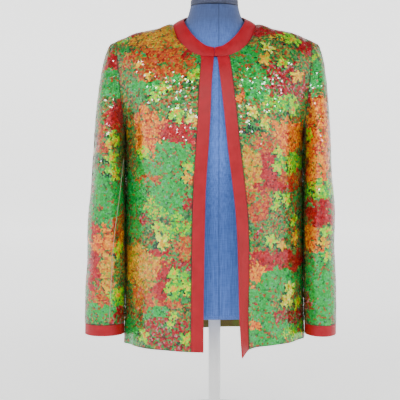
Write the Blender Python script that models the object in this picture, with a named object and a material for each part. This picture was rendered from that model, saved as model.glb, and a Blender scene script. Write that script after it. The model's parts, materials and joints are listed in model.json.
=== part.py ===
"""A collarless jacket of sequin cloth, worn by a limbless dress form on a post and a round base.

Metres, +Z up, the front faces -Y. Left and right are the wearer's, so the left side is at +X.
The floor is at height 0. Heights in the tables are above the jacket's hem, which hangs
HEM_HEIGHT over the floor. A side is +1 at the wearer's left and -1 at the right. A face is -1
at the front and +1 at the back.
"""
import math
from collections import namedtuple

import bmesh
import bpy
from mathutils import Vector

# Driving dimensions
HEM_HEIGHT = 0.172
CLOTH = 0.0020
BAND_CLOTH = 0.0026
SEAM_GAP = 0.0003
BAND_WIDTH = 0.025
NECK_BAND_BULGE = 0.0012
ROLL_HEIGHT = 0.052
FRONT_ROLL = 0.35
BACK_ROLL = 0.6
TORSO_MIDDLE = Vector((0.0, 0.0, HEM_HEIGHT + 0.33))

# The cloth grids: how many cells each stretch has
ROWS_UNDER_ARM = 9
ROWS_BESIDE_ARM = 9
COLUMNS_NECK = 4
COLUMNS_SHOULDER = 8
COLUMNS_BAND = 2
NECK_SHARE = 0.30
BAND_TURN = 20.0
BAND_HEM_SHARE = 0.13

# The dress form, its cap and its stand
FORM_LOW = 0.057
FORM_ROWS_UNDER_ARM = 8
CAP_LOW = 0.7000
CAP_HIGH = 0.7180
CAP_RADIUS_X = 0.0512
CAP_RADIUS_Y = 0.0500
CAP_EDGE_START = 0.0060
CAP_EDGE_MIDDLE = 0.0018
CAP_SHRINK_START = 0.995
CAP_SHRINK_MIDDLE = 0.96
CAP_SHRINK_TOP = 0.86
POST_RADIUS = 0.0125
POST_SIDES = 20
BASE_RADIUS = 0.150
BASE_HIGH = 0.012
BASE_BEVEL = 0.003
BASE_SIDES = 48

Section = namedtuple("Section", "height half_width front back")
JACKET_SECTIONS = [
    Section(-0.02, 0.1866, 0.134, 0.131),
    Section(0.00, 0.1865, 0.134, 0.131),
    Section(0.10, 0.1862, 0.133, 0.127),
    Section(0.20, 0.1858, 0.133, 0.123),
    Section(0.30, 0.1854, 0.133, 0.121),
    Section(0.40, 0.1846, 0.132, 0.121),
    Section(0.43, 0.1840, 0.129, 0.121),
    Section(0.48, 0.1850, 0.120, 0.119),
    Section(0.53, 0.1870, 0.106, 0.114),
    Section(0.57, 0.1900, 0.090, 0.105),
    Section(0.59, 0.1930, 0.079, 0.098),
    Section(0.62, 0.1980, 0.062, 0.086),
    Section(0.67, 0.2040, 0.044, 0.068),
]
FORM_SECTIONS = [
    Section(0.05, 0.158, 0.097, 0.108),
    Section(0.10, 0.161, 0.098, 0.110),
    Section(0.18, 0.148, 0.096, 0.098),
    Section(0.26, 0.128, 0.095, 0.086),
    Section(0.33, 0.142, 0.109, 0.092),
    Section(0.39, 0.158, 0.125, 0.104),
    Section(0.44, 0.164, 0.119, 0.111),
    Section(0.48, 0.168, 0.112, 0.1125),
    Section(0.53, 0.172, 0.1000, 0.1085),
    Section(0.57, 0.180, 0.0850, 0.1000),
    Section(0.59, 0.184, 0.0720, 0.0930),
    Section(0.62, 0.190, 0.0530, 0.0810),
    Section(0.67, 0.198, 0.0350, 0.0630),
]

# An armhole's loop: its lowest and highest points, and how deep it is to the front and back
Armhole = namedtuple("Armhole", "low high low_x high_x front back")
JACKET_ARMHOLE = Armhole(0.430, 0.628, 0.1840, 0.2040, 0.046, 0.053)
FORM_ARMHOLE_LOW = 0.440
FORM_ARMHOLE_LOW_X = 0.1640
FORM_ARMHOLE_HIGH_X = 0.1880
FORM_ARMHOLE_FRONT = 0.034
FORM_ARMHOLE_BACK = 0.040
FORM_DROP = 0.0035
FORM_NECK_DROP = 0.0058
FORM_NECK_INSET = 0.4
EGG_SHARE = 0.15

# The neckline by its turn round the neck: 0 at the centre front, 90 on the shoulder, 180 behind
Neck = namedtuple("Neck", "turn x y height")
NECKLINE = [
    Neck(0, 0.000, -0.0790, 0.588),
    Neck(20, 0.029, -0.0755, 0.590),
    Neck(40, 0.055, -0.0630, 0.603),
    Neck(60, 0.073, -0.0440, 0.623),
    Neck(75, 0.082, -0.0230, 0.643),
    Neck(90, 0.0865, 0.0000, 0.6625),
    Neck(110, 0.0800, 0.0300, 0.6650),
    Neck(135, 0.0590, 0.0560, 0.6620),
    Neck(160, 0.0300, 0.0700, 0.6590),
    Neck(180, 0.000, 0.0735, 0.6580),
]
NECK_TOP = [
    Neck(0, 0.000, -0.0660, 0.607),
    Neck(20, 0.020, -0.0635, 0.613),
    Neck(40, 0.041, -0.0530, 0.631),
    Neck(60, 0.055, -0.0360, 0.650),
    Neck(75, 0.0622, -0.0180, 0.664),
    Neck(90, 0.0640, 0.0000, 0.6735),
    Neck(110, 0.0600, 0.0235, 0.6810),
    Neck(135, 0.0450, 0.0440, 0.6840),
    Neck(160, 0.0230, 0.0560, 0.6850),
    Neck(180, 0.000, 0.0590, 0.6850),
]
FORM_NECK = [
    Neck(0, 0.000, -0.0560, 0.640),
    Neck(45, 0.040, -0.0400, 0.662),
    Neck(90, 0.0555, 0.0000, 0.683),
    Neck(135, 0.0400, 0.0385, 0.690),
    Neck(180, 0.000, 0.0540, 0.692),
]

# The shoulder seam from the neckline to the sleeve
Shoulder = namedtuple("Shoulder", "x height")
SHOULDER = [
    Shoulder(0.0865, 0.6625),
    Shoulder(0.115, 0.6535),
    Shoulder(0.155, 0.6455),
    Shoulder(0.180, 0.6370),
    Shoulder(0.204, 0.6280),
]

# The front edges: how far each lies from the middle, and how far it swings forward
FrontEdge = namedtuple("FrontEdge", "height x swing")
FRONT_EDGES = {
    -1: [
        FrontEdge(-0.02, 0.0215, 0.000),
        FrontEdge(0.065, 0.0213, 0.000),
        FrontEdge(0.160, 0.0202, 0.000),
        FrontEdge(0.255, 0.0186, 0.000),
        FrontEdge(0.320, 0.0168, 0.000),
        FrontEdge(0.400, 0.0116, 0.000),
        FrontEdge(0.465, 0.0078, 0.000),
        FrontEdge(0.535, 0.0050, 0.000),
        FrontEdge(0.588, 0.0008, 0.000),
    ],
    1: [
        FrontEdge(-0.02, 0.0560, 0.021),
        FrontEdge(0.065, 0.0505, 0.018),
        FrontEdge(0.160, 0.0480, 0.013),
        FrontEdge(0.255, 0.0437, 0.006),
        FrontEdge(0.320, 0.0370, 0.002),
        FrontEdge(0.400, 0.0268, 0.000),
        FrontEdge(0.465, 0.0202, 0.000),
        FrontEdge(0.535, 0.0125, 0.000),
        FrontEdge(0.588, 0.0060, 0.000),
    ],
}

# The hem's height across a front from its edge (0) to the side seam (1), and across the back
Hem = namedtuple("Hem", "across height")
HEMS = {
    -1: [Hem(0.0, 0.0), Hem(0.5, 0.0005), Hem(1.0, 0.0)],
    1: [Hem(0.0, -0.008), Hem(0.13, 0.004), Hem(0.3, 0.0085), Hem(0.7, 0.0095), Hem(1.0, 0.010)],
}

# The cloth's soft folds. Rise is outward in metres, and high and low are where it fades out
Fold = namedtuple("Fold", "face side across width rise low high")
FOLDS = [
    Fold(-1, -1, 0.84, 0.06, 0.0060, -0.05, 0.13),
    Fold(-1, -1, 0.72, 0.06, -0.0035, -0.05, 0.16),
    Fold(-1, -1, 0.86, 0.05, -0.0035, 0.42, 0.60),
    Fold(-1, -1, 0.42, 0.10, 0.0030, -0.05, 0.26),
    Fold(-1, -1, 0.22, 0.08, -0.0020, -0.05, 0.20),
    Fold(-1, 1, 0.10, 0.07, -0.0065, -0.05, 0.24),
    Fold(-1, 1, 0.42, 0.10, 0.0030, -0.05, 0.22),
    Fold(-1, 1, 0.66, 0.09, -0.0030, -0.05, 0.20),
    Fold(-1, 1, 0.84, 0.06, 0.0040, -0.05, 0.14),
    Fold(-1, 1, 0.86, 0.05, -0.0025, 0.43, 0.59),
    Fold(1, -1, 0.82, 0.08, 0.0060, -0.05, 0.20),
    Fold(1, -1, 0.60, 0.09, -0.0045, -0.05, 0.24),
    Fold(1, -1, 0.36, 0.10, 0.0055, -0.05, 0.30),
    Fold(1, -1, 0.10, 0.09, -0.0040, -0.05, 0.22),
    Fold(1, 1, 0.16, 0.10, 0.0045, -0.05, 0.27),
    Fold(1, 1, 0.44, 0.09, -0.0045, -0.05, 0.24),
    Fold(1, 1, 0.68, 0.09, 0.0060, -0.05, 0.22),
    Fold(1, 1, 0.88, 0.06, -0.0035, -0.05, 0.15),
    Fold(1, -1, 0.88, 0.05, -0.0030, 0.42, 0.60),
    Fold(1, 1, 0.88, 0.05, -0.0030, 0.43, 0.59),
]

# A sleeve below the armhole: its outer and inner edges, its half depth and its middle's place
SleeveRing = namedtuple("SleeveRing", "height outer inner half_depth middle_y")
SLEEVES = {
    -1: [
        SleeveRing(0.021, 0.2672, 0.1864, 0.0425, -0.031),
        SleeveRing(0.043, 0.2670, 0.1864, 0.0435, -0.030),
        SleeveRing(0.147, 0.2650, 0.1852, 0.0510, -0.028),
        SleeveRing(0.210, 0.2627, 0.1850, 0.0570, -0.026),
        SleeveRing(0.270, 0.2600, 0.1850, 0.0635, -0.023),
        SleeveRing(0.342, 0.2556, 0.1856, 0.0710, -0.017),
        SleeveRing(0.400, 0.2510, 0.1868, 0.0760, -0.008),
    ],
    1: [
        SleeveRing(0.021, 0.2510, 0.1864, 0.0480, -0.031),
        SleeveRing(0.043, 0.2510, 0.1864, 0.0490, -0.030),
        SleeveRing(0.147, 0.2500, 0.1854, 0.0550, -0.028),
        SleeveRing(0.210, 0.2483, 0.1851, 0.0605, -0.026),
        SleeveRing(0.270, 0.2470, 0.1851, 0.0660, -0.023),
        SleeveRing(0.342, 0.2445, 0.1857, 0.0725, -0.017),
        SleeveRing(0.400, 0.2420, 0.1868, 0.0770, -0.008),
    ],
}
SLEEVE_ROUND = 4 * ROWS_BESIDE_ARM
SLEEVE_HEAD_RINGS = 6
SLEEVE_ARM_RINGS = 9
CUFF_TOP = 0.043
GATHERS = 11
GATHER_RISE = 0.0020
GATHER_SPREAD = 75.0
GATHER_OUT = 0.45
GATHER_UP = 0.9

# How each strand of a sleeve's head leaves the armhole and meets the arm, under it and over it
HEAD_OUT_UNDER = 0.10
HEAD_OUT_OVER = 0.40
HEAD_ASIDE = 0.12
HEAD_DOWN = 0.95
HEAD_FALL_UNDER = 0.8
HEAD_FALL_OVER = 1.25
HEAD_FALL_OUT = 0.05

# Soft dents across a sleeve: where each lies by height and turn, and how far it goes in
Dent = namedtuple("Dent", "side height turn tall wide rise")
DENTS = [
    Dent(-1, 0.33, 40, 0.030, 55, -0.0030),
    Dent(-1, 0.25, 70, 0.030, 50, 0.0025),
    Dent(-1, 0.17, 35, 0.034, 60, -0.0030),
    Dent(-1, 0.26, 290, 0.036, 55, -0.0030),
    Dent(-1, 0.13, 300, 0.036, 50, 0.0025),
    Dent(1, 0.35, 60, 0.030, 55, -0.0030),
    Dent(1, 0.27, 30, 0.032, 50, 0.0025),
    Dent(1, 0.19, 65, 0.034, 60, -0.0030),
    Dent(1, 0.24, 300, 0.036, 55, -0.0030),
    Dent(1, 0.12, 290, 0.036, 50, 0.0025),
]

def clear_scene():
    """Starts from an empty scene."""
    for thing in list(bpy.data.objects):
        bpy.data.objects.remove(thing, do_unlink=True)


def read(table, column, value):
    """Reads a column of a table at a value of its first column, on a smooth curve through it."""
    keys = [row[0] for row in table]
    values = [getattr(row, column) for row in table]
    value = min(max(value, keys[0]), keys[-1])
    last = len(keys) - 1
    low = 0
    while low < last - 1 and value > keys[low + 1]:
        low += 1
    steps = [(values[i + 1] - values[i]) / (keys[i + 1] - keys[i]) for i in range(last)]
    slope_low = steps[0] if low == 0 else 0.5 * (steps[low - 1] + steps[low])
    slope_high = steps[-1] if low == last - 1 else 0.5 * (steps[low] + steps[low + 1])
    width = keys[low + 1] - keys[low]
    t = (value - keys[low]) / width
    ends = values[low] + (values[low + 1] - values[low]) * t * t * (3 - 2 * t)
    bend = slope_low * (t - 2 * t * t + t ** 3) + slope_high * (t ** 3 - t * t)
    return ends + bend * width


Shape = namedtuple("Shape", "sections armhole drop")
JACKET = Shape(JACKET_SECTIONS, JACKET_ARMHOLE, 0.0)
FORM_ARMHOLE = Armhole(
    FORM_ARMHOLE_LOW,
    read(SHOULDER, "height", FORM_ARMHOLE_HIGH_X) - FORM_DROP,
    FORM_ARMHOLE_LOW_X,
    FORM_ARMHOLE_HIGH_X,
    FORM_ARMHOLE_FRONT,
    FORM_ARMHOLE_BACK,
)
FORM = Shape(FORM_SECTIONS, FORM_ARMHOLE, FORM_DROP)


def mix(start, end, share):
    """The value that lies at a share of the way between two."""
    return start + (end - start) * share


def bump(distance, width):
    """A soft hill: 1 at its middle and nearly 0 at twice its width."""
    return math.exp(-(distance / width) ** 2)


def armhole_depth(armhole, face, height):
    """How far an armhole's loop lies from the side seam's plane at a height."""
    middle = 0.5 * (armhole.low + armhole.high)
    half = 0.5 * (armhole.high - armhole.low)
    up = min(max((height - middle) / half, -1.0), 1.0)
    depth = armhole.front if face < 0 else armhole.back
    return depth * math.sqrt(1.0 - up * up) * (1.0 - EGG_SHARE * up)


def outer_edge(shape, face, height):
    """Where a panel ends at a height: on its side seam, and above that on the armhole."""
    armhole = shape.armhole
    if height <= armhole.low:
        return read(shape.sections, "half_width", height), 0.0
    share = (height - armhole.low) / (armhole.high - armhole.low)
    x = mix(armhole.low_x, armhole.high_x, share)
    return x, armhole_depth(armhole, face, height)


def top_point(shape, face, turn, across):
    """A point of the line that ends a panel at its top, on the neckline or the shoulder seam."""
    if across <= NECK_SHARE:
        place = turn if face < 0 else 180.0 - turn
        x, y, height = (read(NECKLINE, name, place) for name in ("x", "y", "height"))
        inward = neck_normal(1, place) * (-FORM_NECK_DROP if shape.drop else 0.0)
        x = x + inward.x if 0.0 < place < 180.0 else 0.0
        return x, y + inward.y if place != 90.0 else 0.0, height + inward.z
    share = (across - NECK_SHARE) / (1.0 - NECK_SHARE)
    first = SHOULDER[0].x - FORM_NECK_INSET * shape.drop
    x = mix(first, shape.armhole.high_x, share)
    height = read(SHOULDER, "height", x) - shape.drop
    return x, 0.0, height


def section_frame(shape, face, height):
    """The ellipse a section follows: its half width, its depth and the angle at its outer edge."""
    depth = read(shape.sections, "front" if face < 0 else "back", height)
    edge_x, edge_depth = outer_edge(shape, face, height)
    edge_angle = math.acos(min(edge_depth / depth, 0.98))
    return edge_x / math.sin(edge_angle), depth, edge_angle


def fold_rise(face, side, across, height):
    """How far the folds move a panel's point outward."""
    rise = 0.0
    for fold in FOLDS:
        if fold.face != face or fold.side != side:
            continue
        share = (height - fold.low) / (fold.high - fold.low)
        if 0.0 < share < 1.0:
            fade = math.cos(share * math.pi / 2) ** 2 if fold.low < 0 else math.sin(share * math.pi) ** 2
            rise += fold.rise * fade * bump(across - fold.across, fold.width)
    return rise


def front_point(shape, side, band, across, level):
    """A point of a front. Band runs 0 to 1 over the front band, and across over the panel.

    The form's front has no edge: it starts at the middle.
    """
    worn = shape is JACKET
    if band < 1.0:
        turn = BAND_TURN * band
    else:
        turn = mix(BAND_TURN, 90.0, min(across / NECK_SHARE, 1.0))
    top_x, top_y, top = top_point(shape, -1, turn, across)
    hem_place = BAND_HEM_SHARE * band if band < 1.0 else mix(BAND_HEM_SHARE, 1.0, across)
    hem = read(HEMS[side], "height", hem_place) if worn else FORM_LOW
    height = mix(hem, top, level)

    def on_section(at_height):
        half_width, depth, edge_angle = section_frame(shape, -1, at_height)
        swing = read(FRONT_EDGES[side], "swing", at_height) if worn else 0.0
        run = math.sqrt(1.0 - (swing / BAND_WIDTH) ** 2) * BAND_WIDTH
        edge = read(FRONT_EDGES[side], "x", at_height) if worn else 0.0
        start = math.asin(edge / half_width)
        seam = start + run / half_width
        angle = mix(start, seam, band) if band < 1.0 else mix(seam, edge_angle, across)
        depth += swing * (1.0 - band)
        return half_width * math.sin(angle), -depth * math.cos(angle), angle

    x, y, angle = on_section(height)
    high_x, high_y, _ = on_section(top)
    roll = mix(FRONT_ROLL, 1.0, turn / 90.0) * ROLL_HEIGHT
    off = max(1.0 - (top - height) / roll, 0.0)
    share = 1.0 - math.sqrt(max(1.0 - off * off, 0.0))
    x += (top_x - high_x) * share if band >= 1.0 else 0.0
    y += (top_y - high_y) * share
    rise = fold_rise(-1, side, across, height) if worn and band >= 1.0 else 0.0
    x += rise * math.sin(angle)
    y -= rise * math.cos(angle)
    return Vector((side * x, y, HEM_HEIGHT + height))


def back_point(shape, side, across, level, low):
    """A point of the jacket's or the form's back, from its middle to its outer edge."""
    turn = 90.0 * min(across / NECK_SHARE, 1.0)
    top_x, top_y, top = top_point(shape, 1, turn, across)
    height = mix(low, top, level)

    def on_section(at_height):
        half_width, depth, edge_angle = section_frame(shape, 1, at_height)
        angle = edge_angle * across
        return half_width * math.sin(angle), depth * math.cos(angle), angle

    x, y, angle = on_section(height)
    high_x, high_y, _ = on_section(top)
    roll = mix(BACK_ROLL, 1.0, turn / 90.0) * ROLL_HEIGHT
    off = max(1.0 - (top - height) / roll, 0.0)
    share = 1.0 - math.sqrt(max(1.0 - off * off, 0.0))
    x += (top_x - high_x) * share
    y += (top_y - high_y) * share
    rise = fold_rise(1, side, across, height) if shape is JACKET else 0.0
    x += rise * math.sin(angle)
    y += rise * math.cos(angle)
    return Vector((side * x, y, HEM_HEIGHT + height))


def row_levels(armhole, low, rows_under_arm):
    """The share of its height at which each row of a body lies, one row for each armhole point."""
    tall = armhole.high - low
    levels = [(armhole.low - low) * row / rows_under_arm / tall for row in range(rows_under_arm)]
    middle = 0.5 * (armhole.low + armhole.high)
    half = 0.5 * (armhole.high - armhole.low)
    for row in range(ROWS_BESIDE_ARM + 1):
        height = middle - half * math.cos(math.pi * row / ROWS_BESIDE_ARM)
        levels.append((height - low) / tall)
    return levels


def across_places():
    """The places across half a body: even over the neckline and even over the shoulder."""
    neck = [NECK_SHARE * i / COLUMNS_NECK for i in range(COLUMNS_NECK + 1)]
    step = (1.0 - NECK_SHARE) / COLUMNS_SHOULDER
    return neck + [NECK_SHARE + step * (i + 1) for i in range(COLUMNS_SHOULDER)]


def front_turns():
    """The turns round half the front of the neck, the same as the front's columns."""
    turns = [BAND_TURN * i / COLUMNS_BAND for i in range(COLUMNS_BAND + 1)]
    return turns + [mix(BAND_TURN, 90.0, (i + 1) / COLUMNS_NECK) for i in range(COLUMNS_NECK)]


def front_cells():
    """The places across a front: over its band, then over its panel."""
    bands = [(i / COLUMNS_BAND, 0.0) for i in range(COLUMNS_BAND + 1)]
    return bands + [(1.0, place) for place in across_places()[1:]]


def form_row(face, side, level):
    """A row of half the form's front or back, from the middle to the outer edge."""
    if face < 0:
        return [front_point(FORM, side, band, across, level) for band, across in front_cells()]
    return [back_point(FORM, side, across, level, FORM_LOW) for across in across_places()]


def grid_normals(points, middle, closed=False):
    """The outward direction at each point of a grid of rows."""
    rows = len(points)
    count = len(points[0])
    normals = []
    for j in range(rows):
        line = []
        for i in range(count):
            left = (i - 1) % count if closed else max(i - 1, 0)
            right = (i + 1) % count if closed else min(i + 1, count - 1)
            along = points[j][right] - points[j][left]
            up = points[min(j + 1, rows - 1)][i] - points[max(j - 1, 0)][i]
            normal = along.cross(up).normalized()
            centre = middle(j) if callable(middle) else middle
            line.append(normal if normal.dot(points[j][i] - centre) > 0 else -normal)
        normals.append(line)
    return normals


def wall_mesh(name, outer, normals, thick, material, closed=False):
    """Makes a closed wall from its outer points: the same points moved in, and the rims."""
    mesh = bpy.data.meshes.new(name)
    shell = bmesh.new()
    rows = len(outer)
    count = len(outer[0])
    outside = [[shell.verts.new(p) for p in line] for line in outer]
    inside = [
        [shell.verts.new(p - n * thick) for p, n in zip(line, ways)]
        for line, ways in zip(outer, normals)
    ]
    around = count if closed else count - 1
    for j in range(rows - 1):
        for i in range(around):
            k = (i + 1) % count
            shell.faces.new((outside[j][i], outside[j][k], outside[j + 1][k], outside[j + 1][i]))
            shell.faces.new((inside[j][i], inside[j + 1][i], inside[j + 1][k], inside[j][k]))
    for j in (0, rows - 1):
        for i in range(around):
            k = (i + 1) % count
            shell.faces.new((outside[j][i], outside[j][k], inside[j][k], inside[j][i]))
    if not closed:
        for i in (0, count - 1):
            for j in range(rows - 1):
                rim = (outside[j][i], outside[j + 1][i], inside[j + 1][i], inside[j][i])
                shell.faces.new(rim)
    bmesh.ops.recalc_face_normals(shell, faces=shell.faces)
    bmesh.ops.triangulate(shell, faces=shell.faces)
    shell.to_mesh(mesh)
    shell.free()
    return place(name, mesh, material)


def place(name, mesh, material):
    """Puts a mesh in the scene as a named object with its material, shaded smooth."""
    mesh.materials.append(material)
    mesh.shade_smooth()
    mesh.set_sharp_from_angle(angle=math.radians(40))
    thing = bpy.data.objects.new(name, mesh)
    bpy.context.scene.collection.objects.link(thing)
    return thing


def paint(name, colour, roughness, metallic=0.0):
    """A plain material in one colour."""
    material = bpy.data.materials.new(name)
    material.use_nodes = True
    shader = material.node_tree.nodes["Principled BSDF"]
    shader.inputs["Base Color"].default_value = (*colour, 1.0)
    shader.inputs["Roughness"].default_value = roughness
    shader.inputs["Metallic"].default_value = metallic
    return material


def neck_normal(side, turn):
    """The outward direction of the neck band at its lower edge, which the panels share."""
    def loop(table, place):
        flip = side if place >= 0 else -side
        return Vector((flip * read(table, "x", abs(place)), read(table, "y", abs(place)),
                       read(table, "height", abs(place))))
    low_side = loop(NECKLINE, turn - 2.0)
    high_side = loop(NECKLINE, turn + 2.0) if turn < 178.0 else loop(NECKLINE, 180.0)
    if turn >= 178.0:
        high_side = Vector((-low_side.x, low_side.y, low_side.z))
    along = high_side - low_side
    up = loop(NECK_TOP, turn) - loop(NECKLINE, turn)
    normal = along.cross(up).normalized()
    if turn == 90.0:
        normal = Vector((normal.x, 0.0, normal.z)).normalized()
    outward = Vector((loop(NECKLINE, turn).x, loop(NECKLINE, turn).y, 0.05))
    return normal if normal.dot(outward) > 0 else -normal


def neck_away(side, turn):
    """The direction across the neckline, from the neck band towards the panels."""
    return (neck_point(NECKLINE, side, turn) - neck_point(NECK_TOP, side, turn)).normalized()


def armhole_plane():
    """The direction out of the armhole's plane, for the wearer's left side."""
    hole = JACKET_ARMHOLE
    rise = Vector((hole.high_x - hole.low_x, 0.0, hole.high - hole.low)).normalized()
    return Vector((rise.z, 0.0, -rise.x))


def armhole_inward(normal, side, keep_out):
    """A wall's direction at the armhole, kept on its own side of the armhole's plane."""
    plane = armhole_plane()
    plane.x *= side
    over = normal.dot(plane)
    if (keep_out and over < 0.0) or (not keep_out and over > 0.0):
        normal = normal - plane * over
    return normal.normalized()


def trim_panel(points, normals, face, side, turns, beside_arm):
    """Opens the seams round a panel's half, and turns its walls to match its neighbours'.

    The half's columns run from the middle or the band to the side seam and the armhole.
    """
    last = len(points[0]) - 1
    top = len(points) - 1
    half_gap = 0.5 * SEAM_GAP
    for j, line in enumerate(points):
        flat = Vector((normals[j][last].x, 0.0, normals[j][last].z)).normalized()
        if j <= beside_arm:
            normals[j][last] = Vector((side, 0.0, 0.0))
            line[last] = line[last] + Vector((0.0, face * half_gap, 0.0))
        elif j < top:
            normals[j][last] = armhole_inward(normals[j][last], side, True)
        else:
            normals[j][last] = armhole_inward(flat, side, True)
    for i in range(last + 1):
        if i < len(turns):
            normals[top][i] = neck_normal(side, turns[i])
            points[top][i] = points[top][i] + neck_away(side, turns[i]) * SEAM_GAP
        if i >= len(turns) - 1:
            flat = Vector((normals[top][i].x, 0.0, normals[top][i].z)).normalized()
            normals[top][i] = flat if i < last else normals[top][i]
            points[top][i] = points[top][i] + Vector((0.0, face * half_gap, 0.0))


def make_fronts(cloth, satin):
    """The two front panels and the satin bands along their edges."""
    levels = row_levels(JACKET_ARMHOLE, 0.0, ROWS_UNDER_ARM)
    for side, word in ((-1, "right"), (1, "left")):
        points = [
            [front_point(JACKET, side, band, across, level) for band, across in front_cells()]
            for level in levels
        ]
        normals = grid_normals(points, TORSO_MIDDLE)
        split = COLUMNS_BAND
        turns = [mix(BAND_TURN, 90.0, i / COLUMNS_NECK) for i in range(COLUMNS_NECK + 1)]
        band_turns = [BAND_TURN * i / COLUMNS_BAND for i in range(COLUMNS_BAND + 1)]
        panel = [list(line[split:]) for line in points]
        panel_normals = [list(line[split:]) for line in normals]
        band = [list(line[:split + 1]) for line in points]
        band_normals = [list(line[:split + 1]) for line in normals]
        for j in range(len(levels)):
            away = (points[j][split + 1] - points[j][split]).normalized() * 0.5 * SEAM_GAP
            back = (points[j][split - 1] - points[j][split]).normalized() * 0.5 * SEAM_GAP
            panel[j][0] = panel[j][0] + away
            band[j][split] = band[j][split] + back
        trim_panel(panel, panel_normals, -1, side, turns, ROWS_UNDER_ARM)
        top = len(levels) - 1
        for i, turn in enumerate(band_turns):
            band_normals[top][i] = neck_normal(side, turn)
            band[top][i] = band[top][i] + neck_away(side, turn) * SEAM_GAP
        wall_mesh("front_" + word, panel, panel_normals, CLOTH, cloth)
        wall_mesh("front_band_" + word, band, band_normals, BAND_CLOTH, satin)


def make_back(cloth):
    """The back, in one piece from side seam to side seam."""
    levels = row_levels(JACKET_ARMHOLE, 0.0, ROWS_UNDER_ARM)
    places = across_places()
    hem_left = HEMS[1][-1].height
    turns = [180.0 - 90.0 * i / COLUMNS_NECK for i in range(COLUMNS_NECK + 1)]
    halves = {}
    for side in (-1, 1):
        points = []
        for level in levels:
            line = []
            for a in places:
                low = mix(0.5 * hem_left, hem_left if side > 0 else 0.0, a)
                line.append(back_point(JACKET, side, a, level, low))
            points.append(line)
        normals = grid_normals(points, TORSO_MIDDLE)
        for j in range(len(levels)):
            middle = Vector((0.0, normals[j][0].y, normals[j][0].z)).normalized()
            normals[j][0] = middle
        trim_panel(points, normals, 1, side, turns, ROWS_UNDER_ARM)
        halves[side] = (points, normals)
    outer = []
    normals = []
    for j in range(len(levels)):
        outer.append(list(reversed(halves[-1][0][j]))[:-1] + halves[1][0][j])
        normals.append(list(reversed(halves[-1][1][j]))[:-1] + halves[1][1][j])
    wall_mesh("back", outer, normals, CLOTH, cloth)


def armhole_loop(side):
    """The armhole's points from its top, forward, down, and up behind, shared with the panels."""
    hole = JACKET_ARMHOLE
    middle = 0.5 * (hole.low + hole.high)
    half = 0.5 * (hole.high - hole.low)
    loop = []
    for i in range(2 * ROWS_BESIDE_ARM):
        angle = math.pi * i / ROWS_BESIDE_ARM
        face = -1 if angle <= math.pi else 1
        height = middle + half * math.cos(angle)
        x, depth = outer_edge(JACKET, face, height)
        if i in (0, ROWS_BESIDE_ARM):
            depth = 0.0
        loop.append(Vector((side * x, face * depth, HEM_HEIGHT + height)))
    return loop


def sleeve_ring(side, height, steps):
    """One ring of a sleeve below the armhole: a flattened oval, with its soft dents."""
    table = SLEEVES[side]
    outer = read(table, "outer", height)
    inner = read(table, "inner", height)
    half_depth = read(table, "half_depth", height)
    middle = Vector((side * 0.5 * (outer + inner), read(table, "middle_y", height), HEM_HEIGHT + height))
    ring = []
    for i in range(steps):
        angle = 2.0 * math.pi * i / steps
        rise = 0.0
        for dent in DENTS:
            if dent.side == side:
                off = abs(math.degrees(angle) - dent.turn)
                near = min(off, 360.0 - off)
                rise += dent.rise * bump(height - dent.height, dent.tall) * bump(near, dent.wide)
        wide = 0.5 * (outer - inner) + (rise if math.cos(angle) > 0 else 0.0)
        deep = half_depth + rise
        ring.append(middle + Vector((side * wide * math.cos(angle), -deep * math.sin(angle), 0.0)))
    return middle, ring


def sleeve_head(side, steps, top_ring):
    """The rings between the armhole and the top of the arm, each strand on its own curve."""
    loop = armhole_loop(side)
    plane = armhole_plane()
    plane.x *= side
    start = []
    for i in range(steps):
        here = loop[(i // 2) % len(loop)]
        following = loop[(i // 2 + 1) % len(loop)]
        point = here if i % 2 == 0 else 0.5 * (here + following)
        start.append(point + plane * SEAM_GAP)
    rings = []
    for step in range(SLEEVE_HEAD_RINGS):
        t = step / SLEEVE_HEAD_RINGS
        ring = []
        for i in range(steps):
            turn = 360.0 * i / steps
            over = (0.5 + 0.5 * math.cos(math.radians(turn))) ** 2
            first = start[i]
            last = top_ring[i]
            length = (last - first).length
            out = mix(HEAD_OUT_UNDER, HEAD_OUT_OVER, over)
            ahead = HEAD_ASIDE * math.sin(math.radians(turn)) * (1.0 - over)
            leave = Vector((side * out, -ahead, -HEAD_DOWN * (1.0 - over))) * length
            fall = mix(HEAD_FALL_UNDER, HEAD_FALL_OVER, over)
            arrive = Vector((side * HEAD_FALL_OUT * over, 0.0, -fall)) * length
            point = first * (2 * t ** 3 - 3 * t * t + 1) + leave * (t ** 3 - 2 * t * t + t)
            point += last * (3 * t * t - 2 * t ** 3) + arrive * (t ** 3 - t * t)
            near = min(turn, 360.0 - turn)
            if step > 0 and near < GATHER_SPREAD:
                fade = math.cos(math.radians(90.0 * near / GATHER_SPREAD)) * (1.0 - t) ** 1.5
                wave = math.cos(math.pi * GATHERS * near / GATHER_SPREAD)
                lift = Vector((side * GATHER_OUT, 0.0, GATHER_UP)) * (GATHER_RISE * wave * fade)
                point = point + lift
            ring.append(point)
        rings.append(ring)
    return rings


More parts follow.
